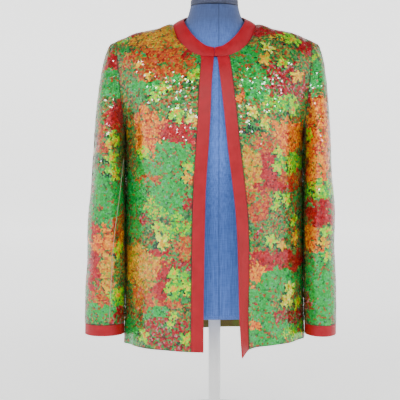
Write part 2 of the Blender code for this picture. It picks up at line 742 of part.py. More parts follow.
def make_sleeves(cloth, satin):
    """The two sleeves, and the satin bands at their ends."""
    for side, word in ((-1, "right"), (1, "left")):
        table = SLEEVES[side]
        arm_top = table[-1].height
        middle, top_ring = sleeve_ring(side, arm_top, SLEEVE_ROUND)
        rings = sleeve_head(side, SLEEVE_ROUND, top_ring)
        middles = [sum(ring, Vector()) / SLEEVE_ROUND for ring in rings]
        for step in range(SLEEVE_ARM_RINGS + 1):
            height = mix(arm_top, CUFF_TOP + 0.5 * SEAM_GAP, step / SLEEVE_ARM_RINGS)
            middle, ring = sleeve_ring(side, height, SLEEVE_ROUND)
            rings.append(ring)
            middles.append(middle)
        normals = grid_normals(rings, lambda j: middles[j], closed=True)
        normals[0] = [armhole_inward(n, side, False) for n in normals[0]]
        wall_mesh("sleeve_" + word, rings, normals, CLOTH, cloth, closed=True)
        cuff = []
        middles = []
        for height in (CUFF_TOP - 0.5 * SEAM_GAP, 0.5 * (CUFF_TOP + table[0].height), table[0].height):
            middle, ring = sleeve_ring(side, height, SLEEVE_ROUND)
            cuff.append(ring)
            middles.append(middle)
        normals = grid_normals(cuff, lambda j: middles[j], closed=True)
        wall_mesh("cuff_band_" + word, cuff, normals, BAND_CLOTH, satin, closed=True)


def neck_point(table, side, turn):
    """A point of a loop round the neck."""
    return Vector((side * read(table, "x", turn), read(table, "y", turn),
                   HEM_HEIGHT + read(table, "height", turn)))


def neck_turns():
    """The turns round one side of the neck, the same as the panels' columns."""
    return front_turns() + [90.0 + 90.0 * (i + 1) / COLUMNS_NECK for i in range(COLUMNS_NECK)]


def make_neck_band(satin):
    """The satin band round the neck, whose two ends meet at the centre front."""
    turns = neck_turns()
    path = [(-1, turn) for turn in turns] + [(1, turn) for turn in reversed(turns[:-1])]
    rows = []
    for share in (0.0, 0.5, 1.0):
        line = []
        for side, turn in path:
            low = neck_point(NECKLINE, side, turn)
            high = neck_point(NECK_TOP, side, turn)
            point = mix(low, high, share)
            point = point + neck_normal(side, turn) * NECK_BAND_BULGE * math.sin(math.pi * share)
            if turn == 0.0:
                point.x = side * SEAM_GAP
            line.append(point)
        rows.append(line)
    normals = grid_normals(rows, TORSO_MIDDLE)
    normals[0] = [neck_normal(side, turn) for side, turn in path]
    for line in normals:
        for i in (0, len(path) - 1):
            line[i] = Vector((0.0, line[i].y, line[i].z)).normalized()
    wall_mesh("neck_band", rows, normals, BAND_CLOTH, satin)


def make_form(linen, dark):
    """The dress form: a closed torso with flat shoulder ends and a neck, and the neck's cap."""
    levels = row_levels(FORM_ARMHOLE, FORM_LOW, FORM_ROWS_UNDER_ARM)
    shell = bmesh.new()
    verts = {}

    def vert(point):
        key = tuple(round(c, 6) for c in point)
        if key not in verts:
            verts[key] = shell.verts.new(point)
        return verts[key]

    def quad(corners):
        ring = []
        for point in corners:
            corner = vert(point)
            if corner not in ring:
                ring.append(corner)
        if len(ring) > 2:
            shell.faces.new(ring)

    for face in (-1, 1):
        for side in (-1, 1):
            grid = [form_row(face, side, level) for level in levels]
            for j in range(len(levels) - 1):
                for i in range(len(grid[0]) - 1):
                    quad((grid[j][i], grid[j][i + 1], grid[j + 1][i + 1], grid[j + 1][i]))
    for side in (-1, 1):
        ends = []
        for face in (-1, 1):
            edge = [form_row(face, side, level)[-1] for level in levels]
            loop = edge[FORM_ROWS_UNDER_ARM:]
            ends += loop if face < 0 else list(reversed(loop))[1:-1]
        quad(ends)
    bottom = []
    for face, side, order in ((-1, 1, 1), (1, 1, -1), (1, -1, 1), (-1, -1, -1)):
        line = form_row(face, side, 0.0)
        bottom += (line if order > 0 else list(reversed(line)))[:-1]
    quad(bottom)
    top_loop = []
    for face, side, order in ((-1, 1, 1), (1, 1, -1), (1, -1, 1), (-1, -1, -1)):
        turns = front_turns()
        if face > 0:
            turns = [180.0 - 90.0 * i / COLUMNS_NECK for i in range(COLUMNS_NECK + 1)]
        line = form_row(face, side, 1.0)[:len(turns)]
        pairs = [(point, side, turn) for point, turn in zip(line, turns)]
        top_loop += (pairs if order > 0 else list(reversed(pairs)))[:-1]
    rings = [[point for point, _, _ in top_loop]]
    for table, inset in ((NECK_TOP, FORM_NECK_DROP), (FORM_NECK, 0.0)):
        ring = []
        for _, side, turn in top_loop:
            point = neck_point(table, side, turn) - neck_normal(side, turn) * inset
            if turn in (0.0, 180.0):
                point.x = 0.0
            ring.append(point)
        rings.append(ring)
    rings.insert(1, [mix(low, high, 0.5) for low, high in zip(rings[0], rings[1])])
    neck_ring = []
    for _, side, turn in top_loop:
        angle = math.radians(turn)
        neck_ring.append(Vector((side * CAP_RADIUS_X * math.sin(angle), -CAP_RADIUS_Y * math.cos(angle),
                                 HEM_HEIGHT + CAP_LOW - SEAM_GAP)))
    rings.append(neck_ring)
    for low, high in zip(rings, rings[1:]):
        for i in range(len(low)):
            k = (i + 1) % len(low)
            quad((low[i], low[k], high[k], high[i]))
    quad(neck_ring)
    bmesh.ops.recalc_face_normals(shell, faces=shell.faces)
    bmesh.ops.triangulate(shell, faces=shell.faces)
    mesh = bpy.data.meshes.new("dress_form")
    shell.to_mesh(mesh)
    shell.free()
    place("dress_form", mesh, linen)
    make_cap(neck_ring, dark)


def make_cap(neck_ring, dark):
    """The neck's cap: a low drum with a rounded top edge."""
    shell = bmesh.new()
    rings = []
    tall = CAP_HIGH - CAP_LOW
    edge = [(SEAM_GAP, 1.0), (tall - CAP_EDGE_START, CAP_SHRINK_START)]
    edge += [(tall - CAP_EDGE_MIDDLE, CAP_SHRINK_MIDDLE), (tall, CAP_SHRINK_TOP)]
    for lift, shrink in edge:
        rings.append([
            shell.verts.new(Vector((p.x * shrink, p.y * shrink, p.z + lift))) for p in neck_ring
        ])
    for low, high in zip(rings, rings[1:]):
        for i in range(len(low)):
            k = (i + 1) % len(low)
            shell.faces.new((low[i], low[k], high[k], high[i]))
    shell.faces.new(rings[0])
    shell.faces.new(rings[-1])
    bmesh.ops.recalc_face_normals(shell, faces=shell.faces)
    bmesh.ops.triangulate(shell, faces=shell.faces)
    mesh = bpy.data.meshes.new("neck_cap")
    shell.to_mesh(mesh)
    shell.free()
    place("neck_cap", mesh, dark)


def make_drum(name, radius, low, high, sides, material, bevel=0.0):
    """A round drum between two heights, with its top edge bevelled."""
    shell = bmesh.new()
    bmesh.ops.create_cone(shell, cap_ends=True, segments=sides, radius1=radius, radius2=radius,
                          depth=high - low)
    bmesh.ops.translate(shell, verts=shell.verts, vec=(0.0, 0.0, 0.5 * (low + high)))
    if bevel:
        rim = [e for e in shell.edges if all(v.co.z > high - 0.0001 for v in e.verts)]
        bmesh.ops.bevel(shell, geom=rim, offset=bevel, segments=2, affect="EDGES")
    bmesh.ops.triangulate(shell, faces=shell.faces)
    mesh = bpy.data.meshes.new(name)
    shell.to_mesh(mesh)
    shell.free()
    place(name, mesh, material)


def main():
    """Makes the jacket, its dress form and the stand."""
    clear_scene()
    cloth = paint("sequin_cloth", (0.30, 0.45, 0.08), 0.35)
    satin = paint("red_satin", (0.58, 0.04, 0.05), 0.4)
    linen = paint("blue_linen", (0.16, 0.28, 0.55), 0.85)
    dark = paint("dark_linen", (0.07, 0.08, 0.14), 0.8)
    enamel = paint("white_enamel", (0.85, 0.85, 0.85), 0.3)
    make_fronts(cloth, satin)
    make_back(cloth)
    make_sleeves(cloth, satin)
    make_neck_band(satin)
    make_form(linen, dark)
    post_low = BASE_HIGH + SEAM_GAP
    post_high = HEM_HEIGHT + FORM_LOW - SEAM_GAP
    make_drum("stand_post", POST_RADIUS, post_low, post_high, POST_SIDES, enamel)
    make_drum("stand_base", BASE_RADIUS, 0.0, BASE_HIGH, BASE_SIDES, enamel, BASE_BEVEL)


main()
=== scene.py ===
# %% [markdown]
# A sequin jacket on a dress form.
# The jacket is a collarless one that meets at the neck and hangs open below. Its cloth is covered
# with small round sequins in a leafy print, and its neck, fronts and cuffs are bound in red satin.
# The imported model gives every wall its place. This script dresses those walls: smooth cloth with
# soft creases, sequins laid in rows on it, satin, linen and enamel.

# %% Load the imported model
import json
import math
from collections import namedtuple

import bmesh
import bpy
import numpy as np
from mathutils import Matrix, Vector, noise
from mathutils.bvhtree import BVHTree
from mathutils.kdtree import KDTree

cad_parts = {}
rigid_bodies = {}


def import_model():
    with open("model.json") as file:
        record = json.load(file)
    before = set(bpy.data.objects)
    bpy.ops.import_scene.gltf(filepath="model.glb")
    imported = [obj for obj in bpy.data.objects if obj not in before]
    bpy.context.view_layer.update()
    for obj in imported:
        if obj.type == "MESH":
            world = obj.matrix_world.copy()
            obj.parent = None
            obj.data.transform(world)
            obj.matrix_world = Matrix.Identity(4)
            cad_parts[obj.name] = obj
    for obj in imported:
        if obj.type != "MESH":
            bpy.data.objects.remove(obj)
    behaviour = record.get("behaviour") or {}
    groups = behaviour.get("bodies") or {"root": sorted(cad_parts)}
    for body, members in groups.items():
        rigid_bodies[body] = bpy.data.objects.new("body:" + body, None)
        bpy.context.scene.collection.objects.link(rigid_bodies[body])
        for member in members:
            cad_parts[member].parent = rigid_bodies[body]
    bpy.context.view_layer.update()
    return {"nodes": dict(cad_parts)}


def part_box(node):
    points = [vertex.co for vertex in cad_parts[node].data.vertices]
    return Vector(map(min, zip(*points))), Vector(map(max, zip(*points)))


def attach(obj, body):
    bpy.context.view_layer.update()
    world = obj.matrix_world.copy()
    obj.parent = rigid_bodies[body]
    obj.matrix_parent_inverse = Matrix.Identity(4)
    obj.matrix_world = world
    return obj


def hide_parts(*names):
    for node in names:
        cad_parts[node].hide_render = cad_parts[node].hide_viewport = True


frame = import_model()
print("the packed model has", len(frame["nodes"]), "pieces")

# %% [markdown]
# A few small helpers serve every cell. Colours are written as on a paint card, in hex, and the
# shaders want linear numbers, so one function turns them. Operators act on all that is selected,
# so everything is deselected before a piece is opened for editing.

# %% Helpers for colours, objects and pieces
def linear(code):
    """A hex colour as the linear numbers that a shader reads, fully opaque."""
    parts = [int(code[i:i + 2], 16) / 255 for i in (1, 3, 5)]
    return (*(p / 12.92 if p <= 0.04045 else ((p + 0.055) / 1.055) ** 2.4 for p in parts), 1.0)


def add_object(name, data):
    """Puts a new object into the scene, at the origin."""
    thing = bpy.data.objects.new(name, data)
    bpy.context.scene.collection.objects.link(thing)
    return thing


def pick(thing):
    """Selects one object alone and makes it the active one."""
    if bpy.context.object and bpy.context.object.mode != "OBJECT":
        bpy.ops.object.mode_set(mode="OBJECT")
    bpy.ops.object.select_all(action="DESELECT")
    thing.select_set(True)
    bpy.context.view_layer.objects.active = thing


def numbers(items, name, width):
    """A column of a mesh's numbers as an array."""
    found = np.empty(len(items) * width)
    items.foreach_get(name, found)
    return found.reshape(-1, width)


def finish_piece(piece, material):
    """Gives a piece its material and its body."""
    piece.data.materials.clear()
    piece.data.materials.append(material)
    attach(piece, "root")


# %% [markdown]
# A material is a few patterns wired into one shader. Each helper here adds a pattern to the node
# tree and gives back its output, so that a material below reads from its pattern to its surface.

# %% Helpers for materials
def start_material(name, **sockets):
    """A new material with its Principled shader, whose sockets take values or hex colours."""
    material = bpy.data.materials.new(name)
    material.use_nodes = True
    shader = material.node_tree.nodes["Principled BSDF"]
    for socket, value in sockets.items():
        value = linear(value) if isinstance(value, str) else value
        shader.inputs[socket.replace("_", " ")].default_value = value
    return material, material.node_tree, shader


def add_node(tree, kind, inputs=None, **settings):
    """Adds a node with its settings. An input is a value, or the output that it is linked to."""
    node = tree.nodes.new("ShaderNode" + kind)
    for name, value in settings.items():
        setattr(node, name, value)
    for name, value in (inputs or {}).items():
        if isinstance(value, bpy.types.NodeSocket):
            tree.links.new(value, node.inputs[name])
        else:
            node.inputs[name].default_value = value
    return node


def attribute(tree, name):
    """The colour that the mesh itself stores under a name."""
    return add_node(tree, "Attribute", attribute_name=name).outputs["Color"]


def speckle(tree, place, scale, detail, roughness=0.5):
    """A noise pattern."""
    return add_node(tree, "TexNoise", {"Vector": place, "Scale": scale, "Detail": detail,
                                       "Roughness": roughness}).outputs["Fac"]


def ribs(tree, place, scale, distortion):
    """Fine ribs that run up the cloth."""
    return add_node(tree, "TexWave", {"Vector": place, "Scale": scale, "Distortion": distortion,
                                      "Detail": 2.0}, bands_direction="X").outputs["Fac"]


def spread(tree, value, low, high, new_low=0.0, new_high=1.0):
    """A value carried from one range to another."""
    return add_node(tree, "MapRange", {"Value": value, "From Min": low, "From Max": high,
                                       "To Min": new_low, "To Max": new_high}).outputs["Result"]


def compute(tree, operation, *values):
    """One sum of numbers."""
    return add_node(tree, "Math", dict(enumerate(values)), operation=operation).outputs["Value"]


def two_tones(tree, share, low, deep, high, pale):
    """A ramp from one hex colour to another, between two values."""
    ramp = add_node(tree, "ValToRGB", {"Fac": share})
    for stop, place, code in zip(ramp.color_ramp.elements, (low, high), (deep, pale)):
        stop.position = place
        stop.color = linear(code)
    return ramp.outputs["Color"]


def mixed(tree, share, start, end):
    """A blend of two colours."""
    return add_node(tree, "Mix", {0: share, 6: start, 7: end}, data_type="RGBA").outputs[2]


def dimmed(tree, colour, share):
    """A colour made darker."""
    return add_node(tree, "VectorMath", {0: colour, "Scale": share},
                    operation="SCALE").outputs["Vector"]


def relief(tree, height, strength, distance):
    """The bent normal of a surface with small hills."""
    return add_node(tree, "Bump", {"Height": height, "Strength": strength,
                                   "Distance": distance}).outputs["Normal"]


def wire(shader, **outputs):
    """Links outputs to the shader's sockets."""
    for socket, output in outputs.items():
        shader.id_data.links.new(output, shader.inputs[socket.replace("_", " ")])


# %% [markdown]
# The camera stands two metres in front of the jacket, at the height of its waist, as for a
# catalogue picture. A long lens keeps the sleeves and the middle at the same scale.

# %% The camera
CAMERA_AWAY = 2.0
SENSOR = 36
PICTURE = 400
PIXEL_AT_MIDDLE = 0.0021
MIDDLE_PIXEL = (214.4, 160.0)
eye = add_object("eye", bpy.data.cameras.new("eye"))
eye.location = (0.0, -CAMERA_AWAY, 0.55)
eye.rotation_euler = (math.radians(90), 0, 0)
eye.data.sensor_width = SENSOR
eye.data.lens = SENSOR * CAMERA_AWAY / (PICTURE * PIXEL_AT_MIDDLE)
eye.data.shift_x = (PICTURE / 2 - MIDDLE_PIXEL[0]) / PICTURE
eye.data.shift_y = -(PICTURE / 2 - MIDDLE_PIXEL[1]) / PICTURE
eye.data.clip_end = 30
bpy.context.scene.camera = eye
print("the lens is", round(eye.data.lens, 1), "mm on a", SENSOR, "mm sensor")

# %% [markdown]
# A pale round floor that curves up into a wall gives a plain studio from every side, and it glows
# a little, as a backdrop with its own lamps does. Glazed sequins mirror whatever is around them,
# so the air is kept dim and the light comes from three large soft lamps: that keeps their dyes
# deep. Four small lamps high in front are what the tilted sequins of the chest catch and send back
# as sparks.

# %% The studio
GLOW_FRONT, GLOW_BACK = 0.10, 1.15
FLOOR_FLAT, CURVE, WALL_HIGH = 5.5, 1.5, 7.0
HEART, CHEST = (0.0, 0.0, 0.5), (0.0, -0.1, 0.70)
Lamp = namedtuple("Lamp", "name place aim size power")
LAMPS = [
    Lamp("front_softbox", (-0.5, -2.6, 1.7), HEART, 2.2, 12),
    Lamp("left_softbox", (2.4, -1.6, 0.9), HEART, 1.6, 13),
    Lamp("right_softbox", (-2.4, -1.6, 0.9), HEART, 1.6, 14),
    Lamp("left_spark_lamp", (0.80, -2.1, 2.2), CHEST, 0.26, 12),
    Lamp("right_spark_lamp", (-0.80, -2.1, 2.2), CHEST, 0.26, 12),
    Lamp("left_outer_spark_lamp", (1.65, -1.7, 2.1), CHEST, 0.26, 11),
    Lamp("right_outer_spark_lamp", (-1.65, -1.7, 2.1), CHEST, 0.26, 11),
]


def build_studio():
    """A round floor that curves up into a wall all round, in one sheet, brighter at the back."""
    profile = [(0.01, 0.0), (2.0, 0.0), (4.0, 0.0), (FLOOR_FLAT, 0.0)]
    profile += [(FLOOR_FLAT + CURVE * math.sin(a), CURVE - CURVE * math.cos(a))
                for a in np.linspace(0.2, 1.5708, 8)]
    profile += [(FLOOR_FLAT + CURVE, 4.0), (FLOOR_FLAT + CURVE, WALL_HIGH)]
    turns = np.linspace(0, 2 * math.pi, 96, endpoint=False)
    mesh = bmesh.new()
    rings = [[mesh.verts.new((r * math.cos(t), r * math.sin(t), z)) for t in turns]
             for r, z in profile]
    mesh.faces.new(rings[0])
    for low, high in zip(rings, rings[1:]):
        for i in range(len(turns)):
            mesh.faces.new((low[i - 1], high[i - 1], high[i], low[i]))
    bmesh.ops.recalc_face_normals(mesh, faces=mesh.faces)
    floor = add_object("studio_floor", bpy.data.meshes.new("studio_floor"))
    mesh.to_mesh(floor.data)
    mesh.free()
    floor.data.shade_smooth()
    glow = floor.data.attributes.new("glow", "FLOAT_COLOR", "POINT")
    for point, spot in zip(glow.data, floor.data.vertices):
        toward_back = min(1.0, max(0.0, (spot.co.y + 2.5) / 4.0))
        point.color = (*3 * [GLOW_FRONT + (GLOW_BACK - GLOW_FRONT) * toward_back], 1)
    material, tree, shader = start_material(
        "matt_white_studio_paint", Base_Color="#F4F4F3", Roughness=0.9, Emission_Strength=1.0
    )
    wire(shader, Emission_Color=attribute(tree, "glow"))
    floor.data.materials.append(material)


build_studio()
for lamp in LAMPS:
    light = add_object(lamp.name, bpy.data.lights.new(lamp.name, "AREA"))
    light.data.shape = "SQUARE"
    light.data.size = lamp.size
    light.data.energy = lamp.power
    light.location = lamp.place
    way = Vector(lamp.aim) - Vector(lamp.place)
    light.rotation_euler = way.to_track_quat("-Z", "Y").to_euler()
world = bpy.data.worlds.new("studio_air")
bpy.context.scene.world = world
world.use_nodes = True
world.node_tree.nodes["Background"].inputs["Color"].default_value = (1, 1, 1, 1)
world.node_tree.nodes["Background"].inputs["Strength"].default_value = 0.15
print("the studio has", len(bpy.data.lights), "lamps")

# %% [markdown]
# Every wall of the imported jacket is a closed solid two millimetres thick. Cloth is easier to shape
# as a sheet, so a copy of each wall loses its rims and its inner face, and its triangles are
# joined back into squares. What is left is an open sheet on the outer face's own points.

# %% The outer face of a wall
THICKEST_WALL = 0.0029


def find_diagonals(mesh, first_row):
    """The edges that split a grid's squares, found strip by strip between its rows."""
    row_of = {point: 0 for point in first_row}
    row = list(first_row)
    while row:
        row_above = []
        for point in row:
            for edge in point.link_edges:
                other = edge.other_vert(point)
                if other not in row_of:
                    row_of[other] = row_of[point] + 1
                    row_above.append(other)
        row = row_above
    crossing = [e for e in mesh.edges if row_of[e.verts[0]] != row_of[e.verts[1]]]
    crossing.sort(key=lambda edge: not edge.is_boundary)
    unseen = set(crossing)
    diagonals = []
    for start in crossing:
        if start not in unseen:
            continue
        strip = []
        edge, face = start, start.link_faces[0]
        while edge:
            strip.append(edge)
            unseen.discard(edge)
            edge = next((e for e in face.edges if e in unseen), None)
            face = next((f for f in edge.link_faces if f is not face), face) if edge else None
        halves = strip[0::2], strip[1::2]
        longer = max(halves, key=lambda edges: sum(e.calc_length() for e in edges))
        diagonals += halves[1] if start.is_boundary else longer
    return diagonals


def outer_face(node, name, is_first):
    """A copy of a packed wall's outer face: an open sheet of squares, row upon row."""
    sheet = frame["nodes"][node].copy()
    sheet.data = sheet.data.copy()
    sheet.name = sheet.data.name = name
    for key in list(sheet.keys()):
        del sheet[key]
    sheet.parent = None
    sheet.data.materials.clear()
    bpy.context.scene.collection.objects.link(sheet)
    low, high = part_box(node)
    middle = 0.5 * (low + high) if "sleeve" in node or "cuff" in node else Vector()
    pick(sheet)
    bpy.ops.mesh.customdata_custom_splitnormals_clear()
    while sheet.data.uv_layers:
        sheet.data.uv_layers.remove(sheet.data.uv_layers[0])
    bpy.ops.object.mode_set(mode="EDIT")
    bpy.ops.mesh.select_mode(type="FACE")
    bpy.ops.mesh.select_all(action="SELECT")
    bpy.ops.mesh.remove_doubles(threshold=0.00005)
    bpy.ops.mesh.select_all(action="DESELECT")
    mesh = bmesh.from_edit_mesh(sheet.data)
    for face in mesh.faces:
        face.select_set(min(edge.calc_length() for edge in face.edges) < THICKEST_WALL)
    bmesh.update_edit_mesh(sheet.data)
    bpy.ops.mesh.delete(type="FACE")
    mesh = bmesh.from_edit_mesh(sheet.data)

    def outwardness(face):
        out = face.calc_center_median() - middle
        return face.normal.dot(Vector((out.x, out.y, 0)).normalized())

    max(mesh.faces, key=outwardness).select_set(True)
    bmesh.update_edit_mesh(sheet.data)
    bpy.ops.mesh.select_linked()
    bpy.ops.mesh.select_all(action="INVERT")
    bpy.ops.mesh.delete(type="FACE")
    bpy.ops.mesh.select_mode(type="EDGE")
    bpy.ops.mesh.select_all(action="DESELECT")
    mesh = bmesh.from_edit_mesh(sheet.data)
    lowest = min(point.co.z for point in mesh.verts)
    for edge in find_diagonals(mesh, [v for v in mesh.verts if is_first(v.co, lowest)]):
        edge.select_set(True)
    bmesh.update_edit_mesh(sheet.data)
    bpy.ops.mesh.dissolve_edges(use_verts=False)
    bpy.ops.object.mode_set(mode="OBJECT")
    squares = sum(len(face.vertices) == 4 for face in sheet.data.polygons)
    print(name, "has", len(sheet.data.polygons), "faces,", squares, "of them squares")
    return sheet


def at_hem(place, lowest):
    """Whether a point is in the row along a body panel's hem."""
    return place.z < lowest + 0.036


def at_rim(place, lowest):
    """Whether a point is in a tube's lowest ring."""
    return place.z < lowest + 0.008


def at_neck_end(place, lowest):
    """Whether a point is on the neck band's end at the wearer's right."""
    return -0.001 < place.x < 0 and place.y < 0


# %% [markdown]
# A Subdivision Surface makes the sheet smooth, but it pulls in from the points that it starts
# from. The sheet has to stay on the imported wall, so its points are moved out by what the surface
# falls short, three times, until the smooth cloth passes through the wall's own points.

# %% Smooth cloth through the wall's points
def smooth_through(sheet, levels):
    """Subdivides a sheet so that it still passes through the points that it had."""
    smoother = sheet.modifiers.new("smooth", "SUBSURF")
    smoother.levels = smoother.render_levels = levels
    smoother.boundary_smooth = "PRESERVE_CORNERS"
    wanted = [point.co.copy() for point in sheet.data.vertices]
    for _ in range(3):
        graph = bpy.context.evaluated_depsgraph_get()
        shown = sheet.evaluated_get(graph).data
        short = [wanted[i] - shown.vertices[i].co for i in range(len(wanted))]
        for point, step in zip(sheet.data.vertices, short):
            point.co += step
        sheet.data.update()
        bpy.context.view_layer.update()
    pick(sheet)
    bpy.ops.object.modifier_apply(modifier=smoother.name)
    sheet.data.shade_smooth()


# %% [markdown]
# A sleeve is a tube, so it is cut open along its inner seam before it can lie flat. The seam runs
# up from the cuff's innermost point, always along the edge that climbs most.

# %% The inner seam of a tube
def mark_inner_seam(tube):
    """Marks the edges from the cuff to the underarm, on the side towards the body."""
    mesh = bmesh.new()
    mesh.from_mesh(tube.data)
    rim = [v for v in mesh.verts if v.is_boundary]
    lowest = min(v.co.z for v in rim)
    here = min((v for v in rim if v.co.z < lowest + 0.012), key=lambda v: abs(v.co.x))
    marked = 0
    while True:
        climbs = [
            ((edge.other_vert(here).co - here.co).normalized().z, edge)
            for edge in here.link_edges if not edge.seam
        ]
        steepest, edge = max(climbs, key=lambda pair: pair[0])
        if steepest <= 0.5:
            break
        edge.seam = True
        here = edge.other_vert(here)
        marked += 1
    mesh.to_mesh(tube.data)
    mesh.free()
    print(tube.name, "is cut open along", marked, "edges")


# %% [markdown]
# Cloth is cut flat, and a print and its sequins are laid on it before it is sewn. Unwrapping the
# sheet gives that flat piece back. It is scaled to its real size in metres and turned so that its
# grain, the direction of the warp, is upright.

# %% The flat cut of each sheet
Cut = namedtuple("Cut", "wide tall area")


def crossed(a, b):
    """Twice the area between two flat directions, row by row."""
    return a[:, 0] * b[:, 1] - a[:, 1] * b[:, 0]


def flat_triangles(mesh):
    """A sheet's triangles: the numbers of their corners, and those corners on the flat cut."""
    mesh.calc_loop_triangles()
    corners = numbers(mesh.loop_triangles, "vertices", 3).astype(int)
    flat = numbers(mesh.uv_layers["cut"].uv, "vector", 2)
    loops = numbers(mesh.loop_triangles, "loops", 3).astype(int)
    return corners, *np.moveaxis(flat[loops], 1, 0)


def lay_flat(sheet, upright=True):
    """Unwraps a sheet at its real size, with its grain upright, and returns what it measures."""
    sheet.data.uv_layers.new(name="cut")
    pick(sheet)
    bpy.ops.object.mode_set(mode="EDIT")
    bpy.ops.mesh.select_all(action="SELECT")
    bpy.ops.uv.unwrap(method="ANGLE_BASED", margin=0.0)
    bpy.ops.object.mode_set(mode="OBJECT")
    mesh = sheet.data
    corners, p, q, r = flat_triangles(mesh)
    places = numbers(mesh.vertices, "co", 3)
    a, b, c = (places[corners[:, i]] for i in range(3))
    real = 0.5 * np.linalg.norm(np.cross(b - a, c - a), axis=1).sum()
    drawn = 0.5 * np.abs(crossed(q - p, r - p)).sum()
    flat = numbers(mesh.uv_layers["cut"].uv, "vector", 2)
    flat = (flat - flat.mean(axis=0)) * math.sqrt(real / drawn)
    if upright:
        heights = places[numbers(mesh.loops, "vertex_index", 1).astype(int)[:, 0]][:, 2]
        slope = np.linalg.lstsq(np.c_[flat, np.ones(len(flat))], heights, rcond=None)[0]
        turn = math.atan2(slope[0], slope[1])
        spin = np.array([[math.cos(turn), -math.sin(turn)], [math.sin(turn), math.cos(turn)]])
        flat = flat @ spin.T
    flat -= flat.min(axis=0)
    mesh.uv_layers["cut"].uv.foreach_set("vector", flat.ravel())
    size = flat.max(axis=0)
    print(sheet.name, "is cut from", *(round(float(s) * 1000) for s in size), "mm")
    return Cut(float(size[0]), float(size[1]), float(real))


# %% [markdown]
# Hanging cloth is never quite smooth. Each crease here is a line on the cloth with its own width,
# and it lifts or lowers the cloth by a millimetre or two, unevenly along its length. On a body
# panel a crease is placed across and up; on a sleeve its first number goes round the arm.

# %% Creases pressed into a sheet
Crease = namedtuple("Crease", "points width rise")
ARM_RADIUS = 0.046


def creases(*rows):
    """Creases from rows in millimetres: width, rise, then across and up for each of its points."""
    return [Crease(np.reshape(row[2:], (-1, 2)) / 1000, row[0] / 1000, row[1] / 1000)
            for row in rows]


def chart(sheet, tube):
    """Two numbers for each point: across and up, or for a tube round its middle and up."""
    places = numbers(sheet.data.vertices, "co", 3)
    if not tube:
        return places[:, [0, 2]]
    side = 1 if places[:, 0].mean() > 0 else -1
    middle_x = 0.5 * (np.abs(places[:, 0]).max() + 0.187)
    slide = np.interp(places[:, 2], [0.20, 0.57, 0.80], [-0.031, -0.010, 0.0])
    turn = np.arctan2(side * places[:, 0] - middle_x, slide - places[:, 1])
    return np.c_[turn * ARM_RADIUS, places[:, 2]]


def lift_points(mesh, lift):
    """Moves a mesh's points along their normals."""
    places = numbers(mesh.vertices, "co", 3)
    normals = numbers(mesh.vertex_normals, "vector", 3)
    mesh.vertices.foreach_set("co", (places + normals * lift[:, None]).ravel())
    mesh.update()


def press_creases(sheet, rows, tube=False):
    """Lifts or lowers a sheet's points near each crease."""
    across = chart(sheet, tube)
    lift = np.zeros(len(across))
    for number, crease in enumerate(rows):
        nearest = np.full(len(across), 9.0)
        share = np.zeros(len(across))
        for i, (start, end) in enumerate(zip(crease.points, crease.points[1:])):
            run = end - start
            t = np.clip(((across - start) @ run) / (run @ run), 0, 1)
            off = np.linalg.norm(across - start - t[:, None] * run, axis=1)
            closer = off < nearest
            nearest[closer] = off[closer]
            share[closer] = (i + t[closer]) / (len(crease.points) - 1)
        fade = np.sin(np.pi * share) ** 0.7 * (1 + 0.35 * np.sin(share * 11 + number * 2.1))
        lift += crease.rise * fade * np.exp(-(nearest / crease.width) ** 2)
    lift_points(sheet.data, lift)


def give_wall(sheet, thick, rim):
    """Thickens a sheet inward and rounds its rims, as a folded edge is."""
    wall = sheet.modifiers.new("wall", "SOLIDIFY")
    wall.thickness = thick
    wall.offset = -1
    wall.use_quality_normals = True
    rounding = sheet.modifiers.new("rounding", "BEVEL")
    rounding.width = rim
    rounding.segments = 2
    rounding.limit_method = "ANGLE"
    rounding.angle_limit = math.radians(50)
    pick(sheet)
    bpy.ops.object.modifier_apply(modifier=wall.name)
    bpy.ops.object.modifier_apply(modifier=rounding.name)
    sheet.data.shade_smooth()


# %% [markdown]
# The print is a loose, painterly one of leaves: clouds of green, rust, ochre and red that break up
# at their edges into specks, and lime leaves with dark shadows scattered over them. Each finish
# below is a handful of dye colours and how many sequins in a hundred take each.

# %% The dyes of the print
PRINT = {
    "moss": (("#3E8040", 26), ("#128A34", 20), ("#96441F", 22), ("#8E8C34", 16), ("#1C5028", 16)),
    "green": (("#049A34", 50), ("#12AA48", 22), ("#3C9460", 12), ("#0A6A2A", 8), ("#8A5424", 8)),
    "vein": (("#7A5426", 26), ("#2E8038", 26), ("#9A3C1C", 28), ("#1C5028", 20)),
    "ochre": (("#CC8A14", 42), ("#DCA428", 20), ("#849628", 20), ("#B85820", 18)),
    "orange": (("#DE760C", 42), ("#EA9C1C", 22), ("#C24614", 22), ("#A01414", 14)),
    "rust": (("#B84A1C", 46), ("#C8741C", 18), ("#708A34", 16), ("#981C18", 20)),
    "red": (("#A00814", 62), ("#B41824", 18), ("#7A0610", 14), ("#C85038", 6)),
    "redmix": (("#9C0C18", 38), ("#7C6448", 14), ("#1C7A34", 18), ("#B4606C", 10), ("#640812", 20)),
    "sprig": (("#5CBE00", 36), ("#94CC00", 22), ("#0CA038", 30), ("#D0AC08", 12)),
    "lime": (("#88D200", 44), ("#B4DA00", 22), ("#58BC00", 24), ("#D4A408", 10)),
    "pale": (("#D0DC30", 36), ("#E8E27C", 20), ("#CCBC10", 22), ("#94CC14", 22)),
    "gold": (("#DCA008", 46), ("#E4BC14", 22), ("#CC7408", 18), ("#B0CC04", 14)),
    "dark": (("#04241A", 46), ("#0A4028", 28), ("#127430", 26)),
}
FINISHES = list(PRINT)
MOST_DYES = max(len(dyes) for dyes in PRINT.values())
print("the print has", sum(len(dyes) for dyes in PRINT.values()), "dyes in", len(PRINT), "finishes")
